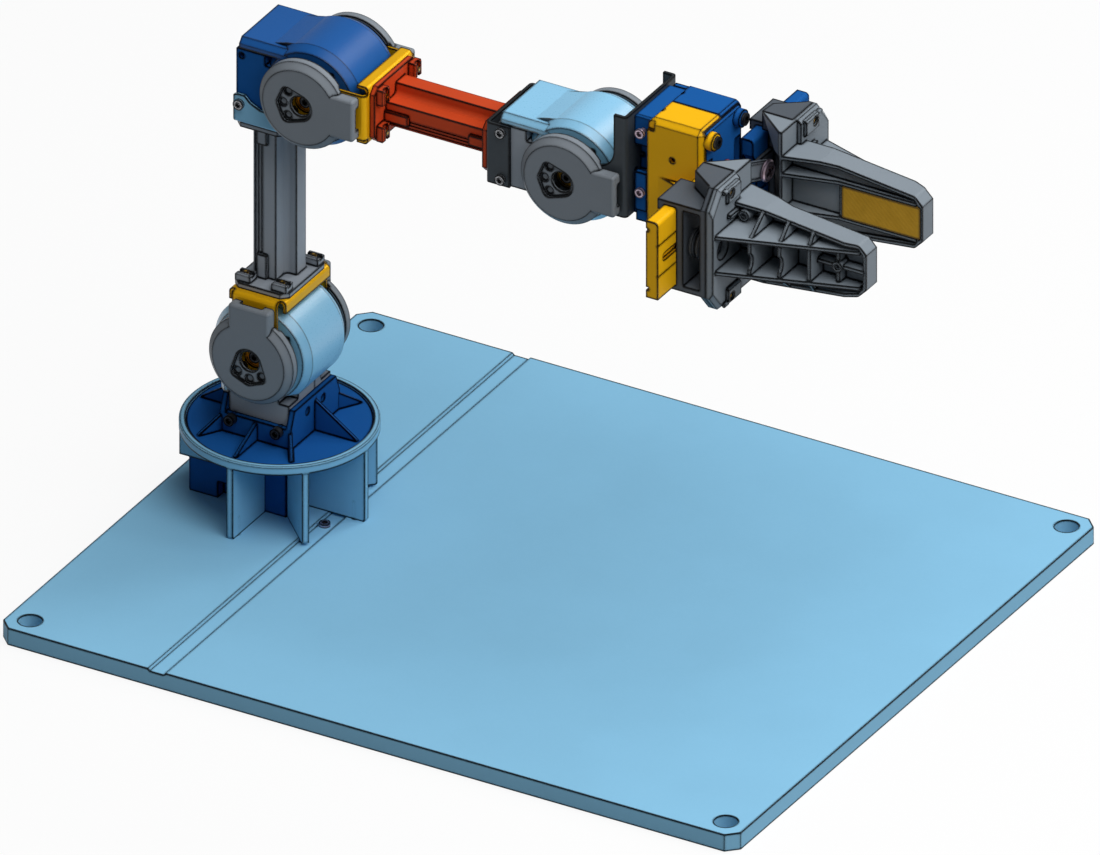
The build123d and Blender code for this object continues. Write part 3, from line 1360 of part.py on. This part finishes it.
def cross_rib(x):
    """A rib across the finger whose outer edge falls from the long ribs to the flanges."""
    reach = rib_reach(x) - 1.0
    flange_up = FINGER_ROOT_HALF - (FINGER_ROOT_HALF - FINGER_TIP_HALF) * max(0, x - CREASE) / (NOSE - CREASE)
    points = [
        (PLATE_SEAT, 0.5 - flange_up),
        (FLANGE_SIDE, 0.5 - flange_up),
        (reach, -RIB_UP),
        (reach, RIB_UP),
        (FLANGE_SIDE, flange_up - 0.5),
        (PLATE_SEAT, flange_up - 0.5),
    ]
    return plate_yz(points, x, x + RIB)


def finger(side):
    """A palm block and a ribbed finger in one moulding, modelled on the +Y side."""
    limit = rib_limit()
    outline = plate_xz(side_profile(0), PALM_INNER, FINGER_ROOT)
    hollow = plate_xz(side_profile(RIB), PALM_INNER - 1, FINGER_ROOT + 1)
    flanges = (outline - hollow) & limit & box(0, NOSE + BIG, 0, FLANGE_SIDE, -BIG, BIG)
    ribs = flanges
    for z in SIDES:
        ribs += box(
            0, RIB_END, PALM_INNER, FINGER_ROOT, z * RIB_UP - RIB / 2, z * RIB_UP + RIB / 2
        ) & outline & limit
    for x in CROSS_RIBS:
        rib = cross_rib(x) & outline & limit
        if x != CROSS_RIBS[-1]:
            rib -= rod((x - 1, rib_reach(x) + WAVE_OUT, -1.5), (1, 0, 0), WAVE_RADIUS, RIB + 2)
        ribs += rib
    ribs += box(CROSS_RIBS[-1], FINGER_TIP - 1, PAD_FACE + 1, BOSS_OUT, -RIB / 2, RIB / 2) & outline
    ribs += box(TIP_BOSS - RIB / 2, TIP_BOSS + RIB / 2, PAD_FACE + 1, BOSS_OUT, -RIB_UP, RIB_UP)
    ribs += rod((TIP_BOSS, PAD_FACE + 1, 0), (0, 1, 0), BOSS_TUBE, BOSS_OUT - PAD_FACE)
    tube = (PALM_FRONT + 4.6, PLATE_SEAT, TUBE_UP)
    ribs += rod(tube, (0, 1, 0), BOSS_TUBE, TUBE_OUT - PLATE_SEAT)
    ribs += box(PALM_FRONT - 1, PALM_FRONT + BAR, PLATE_SEAT, BAR_OUT, BAR_UP - BAR / 2, BAR_UP + BAR / 2)
    panel = plate_xz(side_profile(0), PAD_FACE + PAD_PROUD, PAD_FACE + PAD_PROUD + FINGER_PLATE)
    panel &= box(PANEL_START, FINGER_TIP + 1, 0, BIG, -PANEL_HALF, PANEL_HALF)
    seat_plate = plate_xz(side_profile(0), PLATE_SEAT, PLATE_SEAT + FINGER_PLATE)
    body = ribs + panel + seat_plate
    body += box(PANEL_START, PANEL_START + RIB, PAD_FACE + PAD_PROUD, PLATE_SEAT + 1, -PANEL_HALF, PANEL_HALF)
    nose = [e for e in body.edges().filter_by(Axis.Y) if abs(e.center().X - NOSE) < 0.2]
    body = fillet([e for e in nose if abs(e.center().Z) > FINGER_TIP_HALF - 0.2], NOSE_ROUND)
    body += palm()
    body -= rod((TIP_BOSS, PAD_FACE + 3, 0), (0, 1, 0), BOSS_TUBE / 2, BIG)
    body -= rod((tube[0], PLATE_SEAT + 3, TUBE_UP), (0, 1, 0), BOSS_TUBE / 2, BIG)
    seat = PAD_HALF + SLIP
    body -= box(PAD_START - SLIP, PAD_END + SLIP, PAD_FACE - 1, PAD_FACE + PAD_THICKNESS, -seat, seat)
    return mirrored(body, side)


def pad(side):
    """The rubber face let into a finger."""
    face = box(PAD_START, PAD_END, PAD_FACE, PAD_FACE + PAD_THICKNESS, -PAD_HALF, PAD_HALF)
    return mirrored(fillet(face.edges().filter_by(Axis.Y), 0.8), side)


def finger_screws(side):
    """The screws through the palm's towers into the carriage, and the rod's pivot screw."""
    found = [
        rod(
            (CARRIAGE_FRONT - CARRIAGE_RIM, side * PALM_SCREW_SIDE, z * PALM_SCREW_UP),
            (1, 0, 0),
            SCREW_RADIUS,
            PALM_SCREW,
        )
        for z in SIDES
    ]
    return found + [pivot_screw(side * ROD_PIVOT_SIDE, side * ROD_PIVOT_UP, LUG_BACK)]


def build():
    os.makedirs("parts", exist_ok=True)
    save("base_plate", base_plate())
    save("pedestal", pedestal())
    save("base_screws", *base_screws())
    save("yaw_servo_case", *yaw_servo())
    save("yaw_servo_core", *[YAW * piece for piece in servo_core()])
    save("yaw_horn", yaw_horn())
    save("turntable", turntable())
    save("turntable_screws", *turntable_screws())

    upper_end = UPPER_REACH - UPPER_FLANGE_GAP
    fore_end = FOREARM_REACH - FORE_FLANGE_GAP
    for name, at, roof in (
        ("shoulder", SHOULDER, SHOULDER_ROOF), ("elbow", ELBOW, ROOF_BACK), ("wrist", WRIST, ROOF_BACK)
    ):
        save(f"{name}_servo_case", *[at * half for half in servo_case()])
        save(f"{name}_servo_core", *[at * piece for piece in servo_core()])
        save(f"{name}_drum_cover", at * drum_cover(roof))
        save(f"{name}_horns", *[at * piece for piece in horns()])
        save(f"{name}_horn_screws", *[at * piece for piece in horn_screws()])
        save(f"{name}_right_cover", at * round_cover(-1))
        save(f"{name}_left_cover", at * round_cover(1))
    save("shoulder_hinge_frame", SHOULDER * hinge_frame())
    save("elbow_hinge_frame", ELBOW * hinge_frame())
    save("upper_arm_beam", SHOULDER * beam(upper_end, -1))
    save("upper_arm_screws", *[SHOULDER * piece for piece in link_screws(upper_end, MOUNT_SHEET)])
    save("elbow_mount_frame", ELBOW * elbow_mount())
    save("elbow_mount_screws", *[ELBOW * piece for piece in mount_screws(MOUNT_SHEET + SLIP, -1)])
    save("forearm_beam", ELBOW * beam(fore_end, 1))
    save("forearm_screws", *[ELBOW * piece for piece in link_screws(fore_end, MOUNT_SHEET)])
    save("wrist_mount_frame", WRIST * wrist_mount())
    save("wrist_mount_screws", *[WRIST * piece for piece in mount_screws(MOUNT_SHEET + SLIP / 2, 0)])
    save("hand_frame", WRIST * hand_frame())
    save("hand_screws", *[WRIST * piece for piece in hand_screws()])
    save("gripper_servo_case", *gripper_servo())
    save("gripper_servo_core", *[GRIP * piece for piece in servo_core()])
    save("gripper_shell_right", WRIST * gripper_shell(-1))
    save("gripper_shell_left", WRIST * gripper_shell(1))
    save("gripper_shell_screws", *[WRIST * piece for piece in gripper_shell_screws()])
    save("gripper_crank", GRIP * gripper_horn(), WRIST * crank(), WRIST * crank_screw())
    for name, side in (("right", -1), ("left", 1)):
        save(f"{name}_rod", *[WRIST * piece for piece in finger_rod(side)])
        save(f"{name}_carriage", WRIST * carriage(side))
        save(f"{name}_roller", *[WRIST * piece for piece in roller(side)])
        save(f"{name}_finger", WRIST * finger(side))
        save(f"{name}_pad", WRIST * pad(side))
        save(f"{name}_finger_screws", *[WRIST * piece for piece in finger_screws(side)])


build()
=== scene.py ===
import bpy
import math
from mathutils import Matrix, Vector


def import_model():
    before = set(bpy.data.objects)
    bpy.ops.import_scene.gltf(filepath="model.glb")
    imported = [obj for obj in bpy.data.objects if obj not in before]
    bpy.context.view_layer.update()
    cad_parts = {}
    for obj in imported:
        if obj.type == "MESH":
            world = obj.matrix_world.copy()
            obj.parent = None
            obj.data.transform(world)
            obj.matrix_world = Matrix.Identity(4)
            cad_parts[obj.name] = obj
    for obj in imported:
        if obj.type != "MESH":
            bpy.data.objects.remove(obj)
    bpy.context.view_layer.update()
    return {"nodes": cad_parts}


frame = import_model()

# the camera: a parallel view, 30 degrees round from the front and 30 degrees up
AZIMUTH = math.radians(30)
ELEVATION = math.radians(30)
PHOTO_WIDTH = 1100
PIXELS_PER_METRE = 2434
AIM = Vector((0.1478, -0.0339, 0.100))
CAMERA_DISTANCE = 1.6

# colours as seen on a lit face, in sRGB steps of 1/255
LIGHT_BLUE = (130, 185, 216)
DARK_BLUE = (23, 81, 146)
YELLOW = (226, 170, 12)
ORANGE = (188, 66, 30)
GREY = (146, 153, 161)
COVER_GREY = (122, 129, 136)
CARRIAGE_GREY = (78, 84, 91)
PALM_GREY = (121, 130, 138)
CHARCOAL = (60, 66, 71)
# the pads' colour: YELLOW darkened with painted shade, standing in for the dim light on their
# faces turned to -Y
PAD_YELLOW_PAINTED_SHADE = (182, 137, 8)
STEEL = (176, 178, 182)
BLACK_STEEL = (66, 69, 74)
PINK_STEEL = (206, 184, 200)
BRASS = (206, 156, 36)

MM = 0.001

# the dark lines on edges: how far from an edge the rounded normal reaches, the cosines of
# its turn at a full line and at none, and how much of the face's colour a line keeps
LINE_REACH = 1.8 * MM
LINE_SAMPLES = 8
FULL_LINE = 0.955
NO_LINE = 0.994
LINE_SHADE = 0.02

# the floor: its side and how far it lies below the plate, its own grey, and the white glow
# that the camera and reflections see, with its share over the grey and the shadows
FLOOR_SIDE = 12.0
FLOOR_Z = -0.4 * MM
FLOOR_GREY = (0.4, 0.4, 0.4, 1)
FLOOR_GLOW = 1.12
FLOOR_GLOW_SHARE = 0.8

# the light: the world's even part, the share of its white background that reflections see,
# and how far the lamps stand from the object
EVEN_LIGHT = 0.13
GLOSS_SHARE = 0.25
LAMP_DISTANCE = 1.5

# where one node holds two kinds of screw: the front screws of the gripper housing lie
# beyond this X, and the outer palm screws beyond this distance from the middle in Y
FRONT_SCREWS_X = 195 * MM
OUTER_SCREWS_Y = 27 * MM


def opaque(parts):
    """Three colour parts with full cover as the fourth."""
    return tuple(parts) + (1.0,)


def linear(rgb):
    """An sRGB colour in steps of 1/255 as linear RGBA."""
    parts = [v / 255 for v in rgb]
    return opaque(p / 12.92 if p <= 0.04045 else ((p + 0.055) / 1.055) ** 2.4 for p in parts)


class Build:
    """A short way to add and link shader nodes in one material."""

    def __init__(self, name):
        self.material = bpy.data.materials.new(name)
        self.material.use_nodes = True
        self.tree = self.material.node_tree
        self.tree.nodes.clear()

    def add(self, kind, **values):
        node = self.tree.nodes.new(kind)
        for key, value in values.items():
            setattr(node, key, value)
        return node

    def link(self, source, target):
        self.tree.links.new(source, target)

    def math(self, operation, a, b=None):
        node = self.add("ShaderNodeMath", operation=operation)
        for socket, value in zip(node.inputs, (a, b)):
            if value is None:
                continue
            if isinstance(value, (int, float)):
                socket.default_value = value
            else:
                self.link(value, socket)
        return node.outputs[0]

    def map_range(self, value, low, high, to_low, to_high):
        node = self.add("ShaderNodeMapRange")
        for n, number in enumerate((low, high, to_low, to_high), 1):
            node.inputs[n].default_value = number
        self.link(value, node.inputs[0])
        return node.outputs[0]

    def noise(self, coords, scale, detail, roughness):
        node = self.add("ShaderNodeTexNoise")
        node.inputs["Scale"].default_value = scale
        node.inputs["Detail"].default_value = detail
        node.inputs["Roughness"].default_value = roughness
        self.link(coords, node.inputs["Vector"])
        return node.outputs[0]

    def stretch(self, coords, scale):
        node = self.add("ShaderNodeMapping")
        node.inputs["Scale"].default_value = scale
        self.link(coords, node.inputs["Vector"])
        return node.outputs[0]

    def mix(self, factor, a, b):
        node = self.add("ShaderNodeMix", data_type="RGBA")
        for socket, value in ((node.inputs[0], factor), (node.inputs[6], a), (node.inputs[7], b)):
            if isinstance(value, (int, float, tuple)):
                socket.default_value = value
            else:
                self.link(value, socket)
        return node.outputs[2]


def edge_mask(b, reach):
    """1 along a sharp edge and 0 on open faces, from how much a rounded normal would turn."""
    bevel = b.add("ShaderNodeBevel", samples=LINE_SAMPLES)
    bevel.inputs["Radius"].default_value = reach
    geometry = b.add("ShaderNodeNewGeometry")
    dot = b.add("ShaderNodeVectorMath", operation="DOT_PRODUCT")
    b.link(bevel.outputs[0], dot.inputs[0])
    b.link(geometry.outputs["Normal"], dot.inputs[1])
    return b.map_range(dot.outputs["Value"], FULL_LINE, NO_LINE, 1.0, 0.0)


def surface(name):
    """A new material's builder, its shader and the object's coordinates."""
    b = Build(name)
    shader = b.add("ShaderNodeBsdfPrincipled")
    out = b.add("ShaderNodeOutputMaterial")
    b.link(shader.outputs[0], out.inputs["Surface"])
    return b, shader, b.add("ShaderNodeTexCoord").outputs["Object"]


def add_bump(b, shader, height, strength, distance):
    """Lets a height pattern turn the shader's normal."""
    bump = b.add("ShaderNodeBump")
    bump.inputs["Strength"].default_value = strength
    bump.inputs["Distance"].default_value = distance
    b.link(height, bump.inputs["Height"])
    b.link(bump.outputs[0], shader.inputs["Normal"])


def finish(name, rgb, roughness, grain, grain_bump, cloud,
           metallic=0.0, brushed=None, specular=0.1):
    """A procedural finish: a colour cloud, grain or brushing in the bump and the
    roughness, and a dark line on edges."""
    b, shader, coords = surface(name)
    fine_coords = b.stretch(coords, brushed) if brushed else coords
    fine = b.noise(fine_coords, grain, 4.0, 0.6)
    broad = b.noise(coords, 22.0, 4.0, 0.55)
    base = linear(rgb)
    shade = opaque(v * (1 - cloud * 2) for v in base[:3])
    lift = opaque(min(1.0, v * (1 + cloud)) for v in base[:3])
    speck = opaque(v * 0.6 for v in base[:3])
    clouded = b.mix(b.map_range(broad, 0.35, 0.65, 0.0, 1.0), shade, lift)
    grained = b.mix(b.map_range(fine, 0.3, 0.7, 0.0, cloud * 1.6), clouded, speck)
    dark = opaque(v * LINE_SHADE for v in base[:3])
    b.link(b.mix(edge_mask(b, LINE_REACH), grained, dark), shader.inputs["Base Color"])
    rough = b.map_range(fine, 0.25, 0.75, roughness - 0.07, roughness + 0.09)
    b.link(rough, shader.inputs["Roughness"])
    shader.inputs["Metallic"].default_value = metallic
    shader.inputs["Specular IOR Level"].default_value = specular
    add_bump(b, shader, fine, grain_bump, 0.2 * MM)
    return b.material


def rubber(name, rgb):
    """The pad's soft face: a fine diagonal tread and dusty high spots."""
    b, shader, coords = surface(name)
    wave = b.add("ShaderNodeTexWave", wave_type="BANDS", bands_direction="DIAGONAL")
    wave.inputs["Scale"].default_value = 260.0
    wave.inputs["Distortion"].default_value = 0.4
    b.link(coords, wave.inputs["Vector"])
    dust = b.noise(coords, 160.0, 5.0, 0.65)
    base = linear(rgb)
    pale = opaque(v * 1.25 + 0.01 for v in base[:3])
    dark = opaque(v * 0.1 for v in base[:3])
    dusty = b.mix(b.map_range(dust, 0.4, 0.75, 0.0, 0.6), base, pale)
    edge = b.math("MULTIPLY", edge_mask(b, LINE_REACH), 0.8)
    b.link(b.mix(edge, dusty, dark), shader.inputs["Base Color"])
    shader.inputs["Roughness"].default_value = 0.82
    tread = b.math("ADD", wave.outputs["Fac"], b.math("MULTIPLY", dust, 0.5))
    add_bump(b, shader, tread, 0.25, 0.15 * MM)
    return b.material


def moulded(name, rgb, roughness=0.44, specular=0.1):
    """Injection-moulded plastic with a fine even texture."""
    return finish(name, rgb, roughness, 1500.0, 0.10, 0.022, specular=specular)


def coated(name, rgb):
    """Powder coating on plate: a soft orange-peel surface."""
    return finish(name, rgb, 0.55, 700.0, 0.12, 0.010)


def anodised(name, rgb, brushed):
    """Bent sheet with a coloured, faintly brushed surface."""
    return finish(name, rgb, 0.36, 420.0, 0.10, 0.035, metallic=0.25, brushed=brushed)


def turned(name, rgb, roughness=0.3):
    """Bare or blackened metal of screws, horns and servo cores."""
    return finish(name, rgb, roughness, 1800.0, 0.10, 0.05, metallic=0.9, specular=0.5)


def two_finishes(name, near, far, axis, limit):
    """One metal near the object's origin along an axis and another beyond a limit, for
    nodes with two kinds of screw."""
    b, shader, coords = surface(name)
    place = b.add("ShaderNodeSeparateXYZ")
    b.link(coords, place.inputs[0])
    beyond = b.math("GREATER_THAN", b.math("ABSOLUTE", place.outputs[axis]), limit)
    fine = b.noise(coords, 1800.0, 4.0, 0.6)
    base = b.mix(beyond, linear(near), linear(far))
    worn = b.mix(b.map_range(fine, 0.35, 0.7, 0.0, 0.18), base, (0.02, 0.02, 0.02, 1.0))
    edge = b.math("MULTIPLY", edge_mask(b, LINE_REACH * 0.7), 0.9)
    b.link(b.mix(edge, worn, (0.01, 0.01, 0.01, 1.0)), shader.inputs["Base Color"])
    b.link(b.map_range(fine, 0.25, 0.75, 0.26, 0.42), shader.inputs["Roughness"])
    shader.inputs["Metallic"].default_value = 0.85
    add_bump(b, shader, fine, 0.1, 0.2 * MM)
    return b.material


def dress(material, *nodes):
    """Gives CAD nodes a finish through their material slots."""
    for name in nodes:
        for slot in frame["nodes"][name].material_slots:
            slot.material = material


ALONG_Y = (1.0, 0.06, 1.0)
JOINTS = ("shoulder", "elbow", "wrist")
SIDES = ("right", "left")

plate_blue = coated("plate_blue", LIGHT_BLUE)
light_blue = moulded("light_blue", LIGHT_BLUE)
dark_blue = moulded("dark_blue", DARK_BLUE, 0.6, 0.03)
drum_light_blue = moulded("drum_blue", LIGHT_BLUE, 0.3, 0.6)
drum_dark_blue = moulded("drum_dark_blue", DARK_BLUE, 0.36, 0.2)
yellow = moulded("yellow", YELLOW)
yellow_sheet = anodised("yellow_sheet", YELLOW, ALONG_Y)
orange = moulded("orange", ORANGE)
grey = moulded("grey", GREY)
cover_grey = moulded("cover_grey", COVER_GREY)
carriage_grey = moulded("carriage_grey", CARRIAGE_GREY)
palm_grey = moulded("palm_grey", PALM_GREY)
charcoal = anodised("charcoal_sheet", CHARCOAL, ALONG_Y)
steel = turned("steel", STEEL)
black_steel = turned("black_steel", BLACK_STEEL, 0.42)
pink_steel = turned("pink_steel", PINK_STEEL)
brass = turned("brass", BRASS, 0.34)
# the pads take the yellow with painted shade
pad_rubber = rubber("pad_rubber", PAD_YELLOW_PAINTED_SHADE)
shell_screw = two_finishes("shell_screw", PINK_STEEL, BLACK_STEEL, 0, FRONT_SCREWS_X)
finger_screw = two_finishes("finger_screw", PINK_STEEL, BRASS, 1, OUTER_SCREWS_Y)

dress(plate_blue, "base_plate")
dress(light_blue, "pedestal", "elbow_mount_frame")
dress(dark_blue, "yaw_servo_case", "turntable", "elbow_servo_case", "gripper_servo_case",
      "gripper_shell_left")
dress(drum_light_blue, "shoulder_drum_cover", "wrist_drum_cover")
dress(drum_dark_blue, "elbow_drum_cover")
dress(yellow, "gripper_shell_right")
dress(yellow_sheet, "shoulder_hinge_frame", "elbow_hinge_frame")
dress(orange, "forearm_beam", "gripper_crank")
dress(grey, "upper_arm_beam", "shoulder_servo_case", "wrist_servo_case")
dress(charcoal, "wrist_mount_frame", "hand_frame")
dress(black_steel, "turntable_screws", "hand_screws")
dress(brass, "upper_arm_screws", "forearm_screws")
dress(pink_steel, "base_screws")
dress(steel, "elbow_mount_screws", "wrist_mount_screws", "yaw_horn", "yaw_servo_core",
      "gripper_servo_core")
dress(shell_screw, "gripper_shell_screws")
dress(finger_screw, "right_finger_screws", "left_finger_screws")
for joint in JOINTS:
    dress(cover_grey, f"{joint}_right_cover", f"{joint}_left_cover")
    dress(brass, f"{joint}_horns")
    dress(black_steel, f"{joint}_horn_screws")
    dress(steel, f"{joint}_servo_core")
for side in SIDES:
    dress(carriage_grey, f"{side}_carriage")
    dress(palm_grey, f"{side}_finger", f"{side}_rod")
    dress(pad_rubber, f"{side}_pad")
    dress(carriage_grey, f"{side}_roller")


def floor():
    """A pale floor that keeps the object's shadow and looks white to the camera."""
    bpy.ops.mesh.primitive_plane_add(size=FLOOR_SIDE, location=(0, 0, FLOOR_Z))
    plane = bpy.context.object
    plane.name = "floor"
    b = Build("floor_white")
    diffuse = b.add("ShaderNodeBsdfDiffuse")
    diffuse.inputs["Color"].default_value = FLOOR_GREY
    glow = b.add("ShaderNodeEmission")
    glow.inputs["Color"].default_value = (1, 1, 1, 1)
    glow.inputs["Strength"].default_value = FLOOR_GLOW
    path = b.add("ShaderNodeLightPath")
    seen = b.math("MAXIMUM", path.outputs["Is Camera Ray"], path.outputs["Is Glossy Ray"])
    share = b.math("MULTIPLY", seen, FLOOR_GLOW_SHARE)
    mix = b.add("ShaderNodeMixShader")
    b.link(share, mix.inputs[0])
    b.link(diffuse.outputs[0], mix.inputs[1])
    b.link(glow.outputs[0], mix.inputs[2])
    b.link(mix.outputs[0], b.add("ShaderNodeOutputMaterial").inputs["Surface"])
    plane.data.materials.append(b.material)


def world():
    """Plain even light, and a white background for the camera and for reflections."""
    scene_world = bpy.data.worlds.new("studio")
    bpy.context.scene.world = scene_world
    scene_world.use_nodes = True
    tree = scene_world.node_tree
    tree.nodes.clear()
    even = tree.nodes.new("ShaderNodeBackground")
    even.inputs["Color"].default_value = (0.93, 0.96, 1.0, 1)
    even.inputs["Strength"].default_value = EVEN_LIGHT
    white = tree.nodes.new("ShaderNodeBackground")
    white.inputs["Strength"].default_value = 1.0
    white.inputs["Color"].default_value = (1, 1, 1, 1)
    path = tree.nodes.new("ShaderNodeLightPath")
    mix = tree.nodes.new("ShaderNodeMixShader")
    out = tree.nodes.new("ShaderNodeOutputWorld")
    glossy = tree.nodes.new("ShaderNodeMath")
    glossy.operation = "MULTIPLY"
    glossy.inputs[1].default_value = GLOSS_SHARE
    tree.links.new(path.outputs["Is Glossy Ray"], glossy.inputs[0])
    seen = tree.nodes.new("ShaderNodeMath")
    seen.operation = "MAXIMUM"
    tree.links.new(path.outputs["Is Camera Ray"], seen.inputs[0])
    tree.links.new(glossy.outputs[0], seen.inputs[1])
    tree.links.new(seen.outputs[0], mix.inputs[0])
    tree.links.new(even.outputs[0], mix.inputs[1])
    tree.links.new(white.outputs[0], mix.inputs[2])
    tree.links.new(mix.outputs[0], out.inputs["Surface"])


def lamp(name, direction, power, size):
    """A soft square lamp that shines on the object from a direction."""
    data = bpy.data.lights.new(name, "AREA")
    data.energy = power
    data.size = size
    lamp_object = bpy.data.objects.new(name, data)
    bpy.context.collection.objects.link(lamp_object)
    place = Vector(direction).normalized() * LAMP_DISTANCE
    lamp_object.location = AIM + place
    lamp_object.rotation_euler = (-place).to_track_quat("-Z", "Y").to_euler()


def camera():
    """The photograph's parallel view."""
    data = bpy.data.cameras.new("camera")
    data.type = "ORTHO"
    data.ortho_scale = PHOTO_WIDTH / PIXELS_PER_METRE
    data.clip_end = 20.0
    view = bpy.data.objects.new("camera", data)
    bpy.context.collection.objects.link(view)
    back = Vector((
        math.sin(AZIMUTH) * math.cos(ELEVATION),
        -math.cos(AZIMUTH) * math.cos(ELEVATION),
        math.sin(ELEVATION),
    ))
    view.location = AIM + back * CAMERA_DISTANCE
    view.rotation_euler = (-back).to_track_quat("-Z", "Y").to_euler()
    bpy.context.scene.camera = view


floor()
world()
lamp("key", (0.50, -0.04, 1.0), 33.5, 1.7)
lamp("back", (0.22, 0.75, 0.63), 4.5, 0.5)
camera()
bpy.context.scene.view_settings.view_transform = "Standard"
